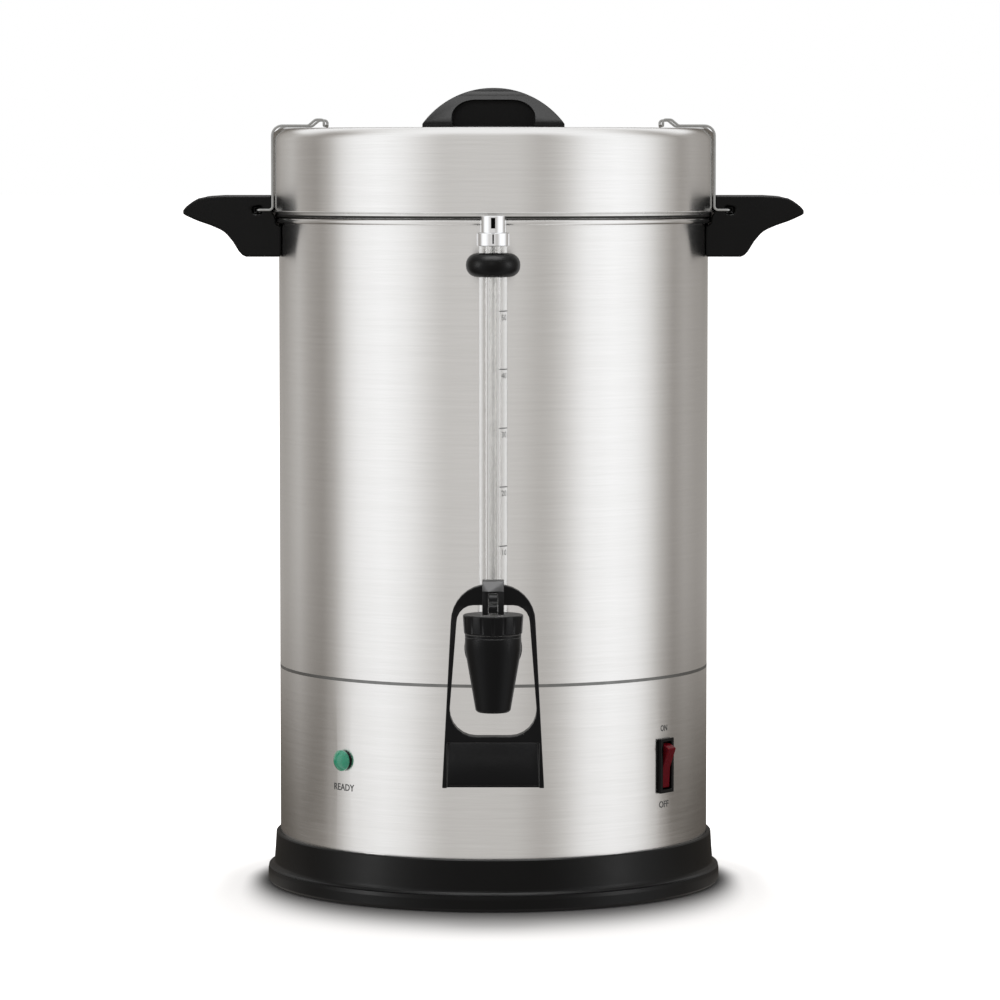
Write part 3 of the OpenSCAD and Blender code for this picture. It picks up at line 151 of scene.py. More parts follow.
# What gloss sees of the room. Each span is a range of the direction's own Y or Z, from 0 to 1.
room = {
    "ambient": 0.26,
    "walls": [  # degrees round from the camera's side, rightwards, and brightness
        (-180, 0.35), (-145, 0.44), (-128, 0.60), (-115, 0.43), (-104, 0.36), (-94, 0.56), (-85, 0.95),
        (-76, 1.15), (-61, 1.24), (-47, 1.11), (-40, 0.97), (-33, 0.83), (-26, 0.72), (-14, 0.74),
        (12, 0.73), (25, 0.58), (31, 0.63), (38, 0.78), (45, 1.00), (52, 1.17), (67, 1.28), (82, 1.18),
        (91, 0.98), (101, 0.64), (112, 0.38), (124, 0.47), (140, 0.38), (180, 0.35),
    ],
    "ceiling": 1.15, "ceilingFrom": (0.6, 0.95),
    "canopyBack": (0.3, 0.7), "canopyFrom": (0.37, 0.5),  # it comes lower down at the back
    "darkBack": (0.8, 0.95), "darkShare": 0.35,  # the walls straight behind the urn
    "tint": {"Red": 0.95, "Green": 1.0, "Blue": 1.06},  # the power that each channel is raised to
}


# Brightness of the studio's walls in a direction seen from the urn
def makeRoomWalls():
    group, given, out = newGroup(
        "roomWalls", [("Direction", "NodeSocketVector", (0, -1, 0))], [("Brightness", "NodeSocketFloat")]
    )
    right, back, up = splitNode(group, given.outputs["Direction"])
    turned = mathNode(group, "ARCTAN2", right, mathNode(group, "MULTIPLY", back, -1.0))
    around = mathNode(group, "ADD", mathNode(group, "DIVIDE", turned, 2 * math.pi), 0.5)
    walls = addNode(group, "ShaderNodeValToRGB")
    wire(group, around, walls.inputs[0])
    ramp = walls.color_ramp
    ramp.interpolation = "LINEAR"
    while len(ramp.elements) > 1:
        ramp.elements.remove(ramp.elements[-1])
    for index, (degrees, value) in enumerate(room["walls"]):
        place = 0.5 + degrees / 360
        element = ramp.elements[0] if index == 0 else ramp.elements.new(place)
        element.position = place
        element.color = (value, value, value, 1)
    wire(group, walls.outputs[0], out.inputs["Brightness"])
    return group


# The room's darker parts are a little warmer than its white ones
def makeRoomTint():
    group, given, out = newGroup(
        "roomTint", [("Brightness", "NodeSocketFloat", 1.0)], [("Color", "NodeSocketColor")]
    )
    channels = addNode(group, "ShaderNodeCombineColor")
    for channel, power in room["tint"].items():
        raised = mathNode(group, "POWER", given.outputs["Brightness"], power)
        wire(group, raised, channels.inputs[channel])
    wire(group, channels.outputs[0], out.inputs["Color"])
    return group


# Places a group of one input and one output
def throughGroup(tree, group, source):
    node = addNode(tree, "ShaderNodeGroup", node_tree=group)
    wire(tree, source, node.inputs[0])
    return node.outputs[0]


def background(tree, colour, strength=1.0):
    node = addNode(tree, "ShaderNodeBackground")
    feed(tree, colour, node.inputs["Color"])
    node.inputs["Strength"].default_value = strength
    return node.outputs[0]


# Gloss sees the walls and ceiling, the camera and clear pieces see white, and the rest is plain light
def makeRoom():
    world = bpy.data.worlds.new("softRoom")
    world.use_nodes = True
    tree = world.node_tree
    tree.nodes.clear()
    direction = addNode(tree, "ShaderNodeTexCoord").outputs["Generated"]
    right, back, up = splitNode(tree, direction)
    farBack = rangeNode(tree, back, 0, 1, room["darkBack"], smooth=True)
    dark = rangeNode(tree, farBack, 1, room["darkShare"])
    walls = mathNode(tree, "MULTIPLY", throughGroup(tree, roomWalls, direction), dark)
    ceiling = rangeNode(tree, up, 0, 1, room["ceilingFrom"], smooth=True)
    canopy = mathNode(
        tree, "MULTIPLY", rangeNode(tree, back, 0, 1, room["canopyBack"], smooth=True),
        rangeNode(tree, up, 0, 1, room["canopyFrom"], smooth=True),
    )
    overhead = (room["ceiling"],) * 3 + (1,)
    wholeRoom = mixNode(tree, mathNode(tree, "MAXIMUM", ceiling, canopy), walls, overhead)
    path = addNode(tree, "ShaderNodeLightPath")
    byGloss = shaderMix(
        tree, path.outputs["Is Glossy Ray"], background(tree, (1, 1, 1, 1), room["ambient"]),
        background(tree, throughGroup(tree, roomTint, wholeRoom)),
    )
    seen = mathNode(tree, "MAXIMUM", path.outputs["Is Camera Ray"], path.outputs["Is Transmission Ray"])
    bySight = shaderMix(tree, seen, byGloss, background(tree, (1, 1, 1, 1)))
    wire(tree, bySight, addNode(tree, "ShaderNodeOutputWorld").inputs[0])
    return world


roomWalls = makeRoomWalls()
roomTint = makeRoomTint()
scene.world = makeRoom()


# A soft rectangular lamp
def addLamp(name, box):
    lampData = bpy.data.lights.new(name, "AREA")
    lampData.shape = "RECTANGLE"
    lampData.size, lampData.size_y = box["size"]
    lampData.energy = box["power"]
    lamp = bpy.data.objects.new(name, lampData)
    lamp.location = box["place"]
    lamp.rotation_euler = (Vector(box["aim"]) - Vector(box["place"])).to_track_quat("-Z", "Y").to_euler()
    scene.collection.objects.link(lamp)
    return lamp


urnMiddle = (0, 0, 0.22)
softboxes = {
    "keyLeft": {"place": (-1.5, -1.3, 0.6), "aim": urnMiddle, "size": (1.0, 1.0), "power": 10.0},
    "keyRight": {"place": (1.5, -1.3, 0.6), "aim": urnMiddle, "size": (1.0, 1.0), "power": 9.0},
    "overhead": {"place": (0.0, 0.04, 1.8), "aim": urnMiddle, "size": (0.54, 0.34), "power": 18.0},
}

for name, box in softboxes.items():
    addLamp(name, box).visible_glossy = False  # gloss sees the room instead

print("camera, room and lamps placed")


# Fine lines brushed round the upright axis, with slow clouds under them
def makeBrushing():
    group, given, out = newGroup(
        "roundBrushing",
        [
            ("Fineness", "NodeSocketFloat", 2600.0),
            ("Streak", "NodeSocketFloat", 5.0),
            ("Cloud Size", "NodeSocketFloat", 16.0),
        ],
        [("Line", "NodeSocketFloat"), ("Cloud", "NodeSocketFloat")],
    )
    place = addNode(group, "ShaderNodeTexCoord").outputs["Object"]
    right, back, up = splitNode(group, place)
    front = mathNode(group, "MULTIPLY", back, -1.0)
    angle = mathNode(group, "ARCTAN2", right, front)
    squares = mathNode(
        group, "ADD", mathNode(group, "MULTIPLY", right, right), mathNode(group, "MULTIPLY", front, front)
    )
    radius = mathNode(group, "SQRT", squares)
    lines = addNode(group, "ShaderNodeCombineXYZ")
    measures = ((angle, "Streak"), (up, "Fineness"), (radius, "Fineness"))
    for (measure, label), socket in zip(measures, lines.inputs):
        wire(group, mathNode(group, "MULTIPLY", measure, given.outputs[label]), socket)
    fine = noiseNode(group, lines.outputs[0], 1.0, 3.0, 0.6)
    coarse = noiseNode(group, lines.outputs[0], 0.17, 2.0, 0.5)
    both = mathNode(
        group, "ADD", mathNode(group, "MULTIPLY", fine, 0.6), mathNode(group, "MULTIPLY", coarse, 0.4)
    )
    wire(group, rangeNode(group, both, -0.35, 1.35), out.inputs["Line"])
    wire(group, noiseNode(group, place, given.outputs["Cloud Size"], 2.0, 0.45), out.inputs["Cloud"])
    return group


# A skin has two colours and a roughness, and the size of its pattern under the name given
def newSkin(name, second, pattern):
    return newGroup(
        name,
        [
            ("Colour", "NodeSocketColor", (0.5, 0.5, 0.5, 1)),
            (second, "NodeSocketColor", (0.5, 0.5, 0.5, 1)),
            ("Roughness", "NodeSocketFloat", 0.4),
            (pattern, "NodeSocketFloat", 1000.0),
        ],
        [("Colour", "NodeSocketColor"), ("Roughness", "NodeSocketFloat"), ("Height", "NodeSocketFloat")],
    )


# The skin of a moulded piece: a fine spark-eroded grain, handling marks and a little dust
def makeMouldSkin():
    group, given, out = newSkin("mouldSkin", "Dust", "Grain")
    place = addNode(group, "ShaderNodeTexCoord").outputs["Object"]
    grain = noiseNode(group, place, given.outputs["Grain"], 2.0, 0.55)
    marks = noiseNode(group, place, 38.0, 4.0, 0.6)
    dusty = rangeNode(group, marks, -0.12, 0.34)
    colour = mixNode(group, dusty, given.outputs["Colour"], given.outputs["Dust"])
    wire(group, colour, out.inputs["Colour"])
    spread, texture = rangeNode(group, marks, -0.10, 0.10), rangeNode(group, grain, -0.06, 0.06)
    rough = mathNode(group, "ADD", mathNode(group, "ADD", given.outputs["Roughness"], spread), texture)
    wire(group, rough, out.inputs["Roughness"])
    wire(group, grain, out.inputs["Height"])
    return group


# Plain drawn or turned metal: a mottled polish with faint scratches
def makeMetalSkin():
    group, given, out = newSkin("metalSkin", "Shade", "Mottle")
    place = addNode(group, "ShaderNodeTexCoord").outputs["Object"]
    mottle = noiseNode(group, place, given.outputs["Mottle"], 3.0, 0.55)
    stretched = addNode(group, "ShaderNodeMapping")
    stretched.inputs["Scale"].default_value = (1800.0, 260.0, 900.0)
    wire(group, place, stretched.inputs["Vector"])
    scratches = noiseNode(group, stretched.outputs[0], 1.0, 2.0, 0.6)
    colour = mixNode(group, mottle, given.outputs["Colour"], given.outputs["Shade"])
    wire(group, colour, out.inputs["Colour"])
    spread = mathNode(
        group, "ADD", rangeNode(group, mottle, -0.10, 0.10), rangeNode(group, scratches, -0.05, 0.05)
    )
    rough = mathNode(group, "ADD", given.outputs["Roughness"], spread)
    wire(group, rough, out.inputs["Roughness"])
    wire(group, scratches, out.inputs["Height"])
    return group


brushing = makeBrushing()
mouldSkin = makeMouldSkin()
metalSkin = makeMetalSkin()


def newMaterial(name):
    material = bpy.data.materials.new(name)
    material.use_nodes = True
    return material, material.node_tree, material.node_tree.nodes["Principled BSDF"]


def addBump(tree, shader, height, strength, distance):
    bump = addNode(tree, "ShaderNodeBump")
    bump.inputs["Strength"].default_value = strength
    bump.inputs["Distance"].default_value = distance
    wire(tree, height, bump.inputs["Height"])
    wire(tree, bump.outputs["Normal"], shader.inputs["Normal"])


def setSockets(shader, values):
    for label, value in values.items():
        shader.inputs[label].default_value = value


# Steel that is brushed round the urn
def brushedSteel(name, look):
    material, tree, shader = newMaterial(name)
    lines = addNode(tree, "ShaderNodeGroup", node_tree=brushing)
    lines.inputs["Fineness"].default_value = look["fineness"]
    lines.inputs["Streak"].default_value = look["streak"]
    shade = mixNode(tree, lines.outputs["Line"], look["dark"], look["light"])
    wire(tree, shade, shader.inputs["Base Color"])
    polish = rangeNode(tree, lines.outputs["Line"], *look["roughness"])
    blur = rangeNode(tree, lines.outputs["Cloud"], -look["cloud"], look["cloud"])
    wire(tree, mathNode(tree, "ADD", polish, blur), shader.inputs["Roughness"])
    height = mathNode(
        tree, "ADD", mathNode(tree, "MULTIPLY", lines.outputs["Line"], look["lineDepth"]),
        mathNode(tree, "MULTIPLY", lines.outputs["Cloud"], look["waviness"]),
    )
    addBump(tree, shader, height, 1.0, 1 * mm)
    setSockets(shader, {"Metallic": 1.0, "Anisotropic": look["anisotropy"], "Anisotropic Rotation": 0.25})
    return material


# A finish from a shared skin. What is the same all over is set on the shader itself.
def skinned(name, skin, look, fixed):
    material, tree, shader = newMaterial(name)
    surface = addNode(tree, "ShaderNodeGroup", node_tree=skin)
    for label, value in look.items():
        if label != "Bump":
            surface.inputs[label].default_value = value
    wire(tree, surface.outputs["Colour"], shader.inputs["Base Color"])
    wire(tree, surface.outputs["Roughness"], shader.inputs["Roughness"])
    addBump(tree, shader, surface.outputs["Height"], *look["Bump"])
    setSockets(shader, fixed)
    return material


steel = brushedSteel("brushedSteel", {
    "dark": (0.70, 0.69, 0.675, 1), "light": (0.81, 0.80, 0.79, 1),
    "fineness": 2600.0, "streak": 5.0,
    "roughness": (0.17, 0.27), "cloud": 0.02,
    "lineDepth": 0.0016, "waviness": 0.05, "anisotropy": 0.85,
})
satinSteel = skinned(
    "satinSteel", metalSkin,
    {"Colour": (0.74, 0.735, 0.72, 1), "Shade": (0.64, 0.635, 0.62, 1), "Roughness": 0.30,
     "Mottle": 120.0, "Bump": (0.25, 0.00002)},
    {"Metallic": 1.0},
)
brightWire = skinned(
    "brightWire", metalSkin,
    {"Colour": (0.42, 0.42, 0.41, 1), "Shade": (0.32, 0.32, 0.31, 1), "Roughness": 0.18,
     "Mottle": 200.0, "Bump": (0.2, 0.00001)},
    {"Metallic": 1.0},
)
chrome = skinned(
    "chromePlate", metalSkin,
    {"Colour": (0.88, 0.88, 0.89, 1), "Shade": (0.82, 0.82, 0.83, 1), "Roughness": 0.09,
     "Mottle": 60.0, "Bump": (0.1, 0.00001)},
    {"Metallic": 1.0},
)
zincSteel = skinned(
    "zincSteel", metalSkin,
    {"Colour": (0.62, 0.62, 0.61, 1), "Shade": (0.50, 0.49, 0.47, 1), "Roughness": 0.36,
     "Mottle": 160.0, "Bump": (0.3, 0.00002)},
    {"Metallic": 1.0},
)
aluminium = skinned(
    "castAluminium", metalSkin,
    {"Colour": (0.72, 0.72, 0.73, 1), "Shade": (0.58, 0.58, 0.59, 1), "Roughness": 0.42,
     "Mottle": 240.0, "Bump": (0.5, 0.00005)},
    {"Metallic": 1.0},
)
brass = skinned(
    "terminalBrass", metalSkin,
    {"Colour": (0.72, 0.52, 0.22, 1), "Shade": (0.60, 0.42, 0.17, 1), "Roughness": 0.28,
     "Mottle": 200.0, "Bump": (0.2, 0.00001)},
    {"Metallic": 1.0},
)
sheath = skinned(
    "elementSheath", metalSkin,
    {"Colour": (0.20, 0.19, 0.18, 1), "Shade": (0.10, 0.09, 0.09, 1), "Roughness": 0.5,
     "Mottle": 140.0, "Bump": (0.5, 0.00004)},
    {"Metallic": 0.9},
)
blackPlastic = skinned(
    "blackPlastic", mouldSkin,
    {"Colour": (0.0012, 0.0011, 0.0010, 1), "Dust": (0.0032, 0.0030, 0.0028, 1), "Roughness": 0.36,
     "Grain": 2400.0, "Bump": (0.3, 0.00005)},
    {"Specular IOR Level": 0.14},
)
tapPlastic = skinned(
    "tapPlastic", mouldSkin,
    {"Colour": (0.0016, 0.0016, 0.0019, 1), "Dust": (0.0042, 0.0042, 0.0048, 1), "Roughness": 0.36,
     "Grain": 3000.0, "Bump": (0.2, 0.00004)},
    {"Specular IOR Level": 0.13},
)
# Near-black steel for the lid's lip where it meets the tank: painted shade
paintedShadeSteel = skinned(
    "paintedShadeSteel", metalSkin,
    {"Colour": (0.07, 0.068, 0.065, 1), "Shade": (0.04, 0.039, 0.037, 1), "Roughness": 0.55,
     "Mottle": 140.0, "Bump": (0.3, 0.00003)},
    {"Metallic": 1.0},
)
rubber = skinned(
    "blackRubber", mouldSkin,
    {"Colour": (0.018, 0.018, 0.018, 1), "Dust": (0.05, 0.048, 0.045, 1), "Roughness": 0.72,
     "Grain": 1500.0, "Bump": (0.5, 0.0001)},
    {"Specular IOR Level": 0.3},
)
silicone = skinned(
    "valveSilicone", mouldSkin,
    {"Colour": (0.42, 0.42, 0.40, 1), "Dust": (0.50, 0.49, 0.46, 1), "Roughness": 0.5,
     "Grain": 1800.0, "Bump": (0.3, 0.00006)},
    {"Subsurface Weight": 0.15, "Subsurface Scale": 0.002},
)
ceramic = skinned(
    "fuseCeramic", mouldSkin,
    {"Colour": (0.66, 0.62, 0.52, 1), "Dust": (0.55, 0.50, 0.42, 1), "Roughness": 0.55,
     "Grain": 1200.0, "Bump": (0.4, 0.00006)},
    {},
)
sleeve = skinned(
    "cableSleeve", mouldSkin,
    {"Colour": (0.62, 0.59, 0.50, 1), "Dust": (0.45, 0.42, 0.35, 1), "Roughness": 0.7,
     "Grain": 1600.0, "Bump": (0.8, 0.00012)},
    {"Sheen Weight": 0.3},
)
greenLens = skinned(
    "greenLens", mouldSkin,
    {"Colour": (0.002, 0.30, 0.16, 1), "Dust": (0.01, 0.40, 0.24, 1), "Roughness": 0.12,
     "Grain": 500.0, "Bump": (0.15, 0.00008)},
    {"Coat Weight": 0.8, "Subsurface Weight": 0.3, "Subsurface Scale": 0.004,
     "Emission Color": (0.0, 0.55, 0.30, 1), "Emission Strength": 0.12},
)
# A lighter grey plastic for the stem head's upward sloped brow: a painted highlight
paintedBrowHighlight = skinned(
    "paintedBrowHighlight", mouldSkin,
    {"Colour": (0.055, 0.055, 0.056, 1), "Dust": (0.07, 0.07, 0.07, 1), "Roughness": 0.3,
     "Grain": 3000.0, "Bump": (0.2, 0.00004)},
    {"Specular IOR Level": 0.4},
)
redRocker = skinned(
    "redRocker", mouldSkin,
    {"Colour": (0.17, 0.005, 0.012, 1), "Dust": (0.12, 0.004, 0.009, 1), "Roughness": 0.25,
     "Grain": 700.0, "Bump": (0.1, 0.00005)},
    {"Specular IOR Level": 0.07, "Subsurface Weight": 0.2, "Subsurface Scale": 0.003},
)
clearTube = skinned(
    "clearTube", mouldSkin,
    {"Colour": (0.86, 0.86, 0.855, 1), "Dust": (0.84, 0.84, 0.835, 1), "Roughness": 0.12,
     "Grain": 300.0, "Bump": (0.0, 0.00001)},
    {"Transmission Weight": 1.0, "IOR": 1.49},
)

finishes = {
    steel: ["tank", "lower_shell", "lid"],
    satinSteel: ["bottom_plate", "warmer_plate", "tie_rod", "coffee_basket", "basket_lid",
                 "pump_tube", "pump_base", "knob_washer"],
    brightWire: ["bail_left", "bail_right", "valve_spring", "lever_pin"],
    chrome: ["gauge_cap"],
    zincSteel: ["bottom_screws", "handle_screws", "inlet_screws", "knob_screw", "tie_nut", "tap_nut",
                "tap_washer"],
    aluminium: ["pump_heater"],
    brass: ["switch_terminals", "inlet_pins"],
    sheath: ["heating_element"],
    blackPlastic: ["base_ring", "handle_left", "handle_right", "lid_knob", "gauge_holder",
                   "light_body", "switch_housing", "power_inlet", "thermostat"],
    tapPlastic: ["tap_body", "tap_bonnet", "valve_stem", "lever"],
    rubber: ["foot_ring", "tap_gasket", "gauge_seal"],
    silicone: ["seat_cup"],
    ceramic: ["thermal_fuse"],
    sleeve: ["wiring"],
    greenLens: ["light_lens"],
    redRocker: ["switch_rocker"],
    clearTube: ["gauge_tube"],
}

for material, names in finishes.items():
    for name in names:
        slots = nodes[name].data.materials
        if not len(slots):
            slots.append(material)
        for index in range(len(slots)):
            slots[index] = material

print("finishes given to", sum(len(names) for names in finishes.values()), "nodes")


def restSelection():
    bpy.ops.object.select_all(action="DESELECT")


def pickUp(piece):
    restSelection()
    piece.select_set(True)
    bpy.context.view_layer.objects.active = piece


def addModifier(piece, kind, **settings):
    modifier = piece.modifiers.new(kind.lower(), kind)
    for key, value in settings.items():
        setattr(modifier, key, value)
    pickUp(piece)
    bpy.ops.object.modifier_apply(modifier=modifier.name)


# Gives a finished mesh its shading, finish, body and slot, and hides the nodes that it stands for
def settle(piece, body, material, standsFor=(), angle=35):
    pickUp(piece)
    bpy.ops.object.transform_apply(location=True, rotation=True, scale=True)
    bpy.ops.object.shade_smooth_by_angle(angle=math.radians(angle))
    piece.data.materials.clear()
    piece.data.materials.append(material)
    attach(piece, body)
    if standsFor:
        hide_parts(*standsFor)
    restSelection()
    return piece


# Adds a finish to a finished piece and gives it to the faces that the test picks
def finishFaces(piece, material, picks):
    piece.data.materials.append(material)
    for face in piece.data.polygons:
        if picks(face):
            face.material_index = len(piece.data.materials) - 1


# A copy of a node's solid with its facets joined into faces, ready to be worked on
def dressedCopy(node, name):
    piece = bpy.data.objects.new(name, nodes[node].data.copy())
    scene.collection.objects.link(piece)
    pickUp(piece)
    if piece.data.has_custom_normals:
        bpy.ops.mesh.customdata_custom_splitnormals_clear()
    bpy.ops.object.mode_set(mode="EDIT")
    bpy.ops.mesh.select_all(action="SELECT")
    bpy.ops.mesh.remove_doubles(threshold=0.000004)
    bpy.ops.mesh.dissolve_limited(angle_limit=math.radians(0.6))
    bpy.ops.object.mode_set(mode="OBJECT")
    return piece


# Makes a copied node on the shell narrower: degrees round from the front, and the share that stays
def narrowAcross(piece, degrees, share):
    across = Vector((math.cos(math.radians(degrees)), math.sin(math.radians(degrees)), 0))
    for vertex in piece.data.vertices:
        vertex.co += across * vertex.co.dot(across) * (share - 1)


# Lowers the corners of a copied node that lie at one height, outside its rod
def lowerCorners(piece, height, rod, drop):
    axis = Vector((0, tapLook["axis"][1]))
    for vertex in piece.data.vertices:
        if abs(vertex.co.z - height) < 0.02 * mm and (vertex.co.xy - axis).length > rod:
            vertex.co.z -= drop


# Brings the slot's front corners down to the foot of the sloped brow, so that the brow is one flat face
def closeNotch(piece, height, front, edge):
    for vertex in piece.data.vertices:
        if abs(vertex.co.z - height) < 0.02 * mm and vertex.co.y < front:
            vertex.co.y, vertex.co.z = edge
    pickUp(piece)
    bpy.ops.object.mode_set(mode="EDIT")
    bpy.ops.mesh.select_all(action="SELECT")
    bpy.ops.mesh.remove_doubles(threshold=0.02 * mm)
    bpy.ops.object.mode_set(mode="OBJECT")


# Rounds every edge of a copied node that is sharper than the look's angle
def softened(node, name, look, material):
    piece = dressedCopy(node, name)
    if "drop" in look:
        lowerCorners(piece, *look["drop"])
    if "notch" in look:
        closeNotch(piece, *look["notch"])
    if "narrow" in look:
        narrowAcross(piece, *look["narrow"])
    addModifier(
        piece, "BEVEL", width=look["edge"], segments=look["steps"], limit_method="ANGLE",
        angle_limit=math.radians(look["from"]), use_clamp_overlap=look.get("clamp", False),
        miter_outer="MITER_ARC", harden_normals=False,
    )
    settle(piece, bodyOf(node), material, (node,))
    addModifier(piece, "WEIGHTED_NORMAL", keep_sharp=True, weight=100)


def bodyOf(node):
    bodies = frame["record"]["behaviour"]["bodies"]
    return next(body for body, names in bodies.items() if node in names)


# A path with its corners turned into arcs of the bends' radii
def roundedPath(points, bends, steps=8):
    path = [Vector(points[0])]
    for index in range(1, len(points) - 1):
        corner, bend = Vector(points[index]), bends[index]
        before = (Vector(points[index - 1]) - corner).normalized()
        after = (Vector(points[index + 1]) - corner).normalized()
        half = before.angle(after) / 2
        if bend == 0 or half > math.radians(89):
            path.append(corner)
            continue
        reach = bend / math.tan(half)
        centre = corner + (before + after).normalized() * (bend / math.sin(half))
        start, end = corner + before * reach - centre, corner + after * reach - centre
        turn = start.angle(end)
        for step in range(steps + 1):
            share = step / steps
            first, second = math.sin((1 - share) * turn), math.sin(share * turn)
            path.append(centre + (start * first + end * second) / math.sin(turn))
    path.append(Vector(points[-1]))
    return path


# A round wire along a path, made a mesh
def wirePiece(name, path, thickness):
    curve = bpy.data.curves.new(name, "CURVE")
    curve.dimensions = "3D"
    curve.bevel_depth = thickness / 2
    curve.bevel_resolution = 5
    curve.use_fill_caps = True
    spline = curve.splines.new("POLY")
    spline.points.add(len(path) - 1)
    for point, place in zip(spline.points, path):
        point.co = (*place, 1)
    piece = bpy.data.objects.new(name, curve)
    scene.collection.objects.link(piece)
    pickUp(piece)
    bpy.ops.object.convert(target="MESH")
    return bpy.context.object


smallRound, largeRound = 96, 180  # facets round a small piece, and round the urn


# An outline of (radius, height) points spun about an upright axis
def spunPiece(name, outline, steps, axis=(0, 0, 0), closed=False):
    restSelection()
    bpy.ops.mesh.primitive_plane_add(size=1)
    piece = bpy.context.object
    piece.name = piece.data.name = name
    bpy.ops.object.mode_set(mode="EDIT")
    bpy.ops.mesh.delete(type="VERT")
    mesh = bmesh.from_edit_mesh(piece.data)
    chain = [mesh.verts.new((radius, 0, height)) for radius, height in outline]
    for first, second in zip(chain, chain[1:] + (chain[:1] if closed else [])):
        mesh.edges.new((first, second))
    bmesh.update_edit_mesh(piece.data)
    bpy.ops.mesh.select_all(action="SELECT")
    bpy.ops.mesh.spin(steps=steps, angle=2 * math.pi, center=(0, 0, 0), axis=(0, 0, 1))
    bpy.ops.mesh.select_all(action="SELECT")
    bpy.ops.mesh.remove_doubles(threshold=0.000002)
    bpy.ops.mesh.normals_make_consistent(inside=False)
    bpy.ops.object.mode_set(mode="OBJECT")
    piece.location = axis
    pickUp(piece)
    bpy.ops.object.transform_apply(location=True, rotation=True, scale=True)
    return piece


def inMetres(outline):
    return [(radius * mm, height * mm) for radius, height in outline]


# The points of an arc, with its angles in degrees
def arcPoints(centre, radius, start, end, steps):
    angles = [math.radians(start + (end - start) * step / steps) for step in range(steps + 1)]
    return [
        (centre[0] + radius * math.cos(angle), centre[1] + radius * math.sin(angle)) for angle in angles
    ]


# Lettering laid round an upright cylinder: degrees is 0 at the front and grows rightwards
def letteringOnShell(name, look):
    restSelection()
    bpy.ops.object.text_add()
    words = bpy.context.object
    words.name = words.data.name = name
    words.data.body = look["words"]
    words.data.size = look["size"]
    words.data.align_x, words.data.align_y = "CENTER", "CENTER"
    words.data.extrude = look["proud"] / 2
    words.data.offset = look.get("bold", 0)
    words.data.resolution_u = 3
    pickUp(words)
    bpy.ops.object.convert(target="MESH")
    words = bpy.context.object
    centre, radius = Vector((*look["axis"], 0)), look["radius"]
    for vertex in words.data.vertices:
        across, up, out = vertex.co
        angle = math.radians(look["degrees"]) + across * look.get("stretch", 1.0) / radius
        away = radius + out + look["proud"] / 2
        height = look["height"] + up
        vertex.co = centre + Vector((away * math.sin(angle), -away * math.cos(angle), height))
    return words


# The wire's thickness and bends, and the places of its corners in millimetres
bailLook = {
    "wire": 1.45 * mm, "bend": 2.2 * mm, "topBend": 5.6 * mm, "softBend": 2.6 * mm, "step": 1.6 * mm,
    "pivot": (131.0, 377.0), "leg": 122.4, "top": 423.6, "side": 26.1, "foot": 18.1,
    "ramp": 102.4, "bump": 98.4, "bar": 93.8, "rise": 3.3,
}


def makeBail(side):
    look = bailLook
    pivotX, pivotZ = look["pivot"]
    high = look["top"] + look["rise"]
    foot, wide, top = look["foot"], look["side"], look["top"]
    half = [
        (pivotX, foot, pivotZ), (pivotX, wide, pivotZ), (look["leg"], wide, pivotZ),
        (look["leg"], wide, top), (look["ramp"], wide, top), (look["bump"], wide, high),
        (look["bar"], wide, high), (look["bar"], wide, top),
    ]
    corners = ("bend", "bend", "topBend", "softBend", "softBend", "step", "step")
    bends = [0] + [look[corner] for corner in corners]
    points = half + [(x, -y, z) for x, y, z in reversed(half)]
    points = [Vector((side * x, y, z)) * mm for x, y, z in points]
    path = roundedPath(points, bends + bends[::-1])
    return wirePiece("bailWireRight" if side > 0 else "bailWireLeft", path, look["wire"])


for side, node in ((1, "bail_right"), (-1, "bail_left")):
    settle(makeBail(side), bodyOf(node), brightWire, (node,), 60)

print("bails bent")

tapLook = {"axis": (0, -165.0 * mm, 0)}
grip = {"edge": 1.3 * mm, "steps": 4, "from": 40}
switchSide = 51.5  # degrees round from the front
softPieces = {
    ("black_plastic", blackPlastic): {
        "handle_left": ("gripLeft", grip),
        "handle_right": ("gripRight", grip),
        "lid_knob": ("lidKnob", {"edge": 0.6 * mm, "steps": 3, "from": 38, "clamp": True}),
        "gauge_holder": ("gaugeHolder", {"edge": 0.8 * mm, "steps": 4, "from": 40}),
        "switch_housing": (
            "switchBezel", {"edge": 0.5 * mm, "steps": 3, "from": 40, "narrow": (switchSide, 0.86)},
        ),
        "power_inlet": ("powerInlet", {"edge": 0.4 * mm, "steps": 3, "from": 40}),
    },
    ("tap_plastic", tapPlastic): {
        "lever": ("tapLever", {"edge": 0.5 * mm, "steps": 3, "from": 40}),
        "valve_stem": ("stemHead", {
            "edge": 0.2 * mm, "steps": 3, "from": 40, "drop": (166.8 * mm, 3.6 * mm, 1.2 * mm),
            "notch": (178.6 * mm, -171 * mm, (-172 * mm, 178 * mm)),
        }),
        "tap_body": ("tapBody", {"edge": 0.6 * mm, "steps": 3, "from": 40}),
    },
    ("red_rocker", redRocker): {
        "switch_rocker": (
            "switchRocker", {"edge": 0.6 * mm, "steps": 4, "from": 40, "narrow": (switchSide, 0.81)},
        ),
    },
}

for (slot, material), pieces in softPieces.items():
    for node, (name, look) in pieces.items():
        softened(node, name, look, material)

# The stem head's sloped brow is given a lighter plastic: a painted highlight
browLook = {"forward": 0.75, "up": 0.45}
finishFaces(
    bpy.data.objects["stemHead"], paintedBrowHighlight,
    lambda face: face.normal.y < -browLook["forward"] and face.normal.z > browLook["up"],
)

print("moulded edges rounded on", sum(len(pieces) for pieces in softPieces.values()), "pieces")


def nodeHeights(node):
    heights = [vertex.co.z for vertex in nodes[node].data.vertices]
    return min(heights), max(heights)


gaugeAxis = (0, -134.6 * mm, 0)
tubeLook = {"outer": 7.6 * mm, "bore": 2.8 * mm, "chamfer": 0.3 * mm}


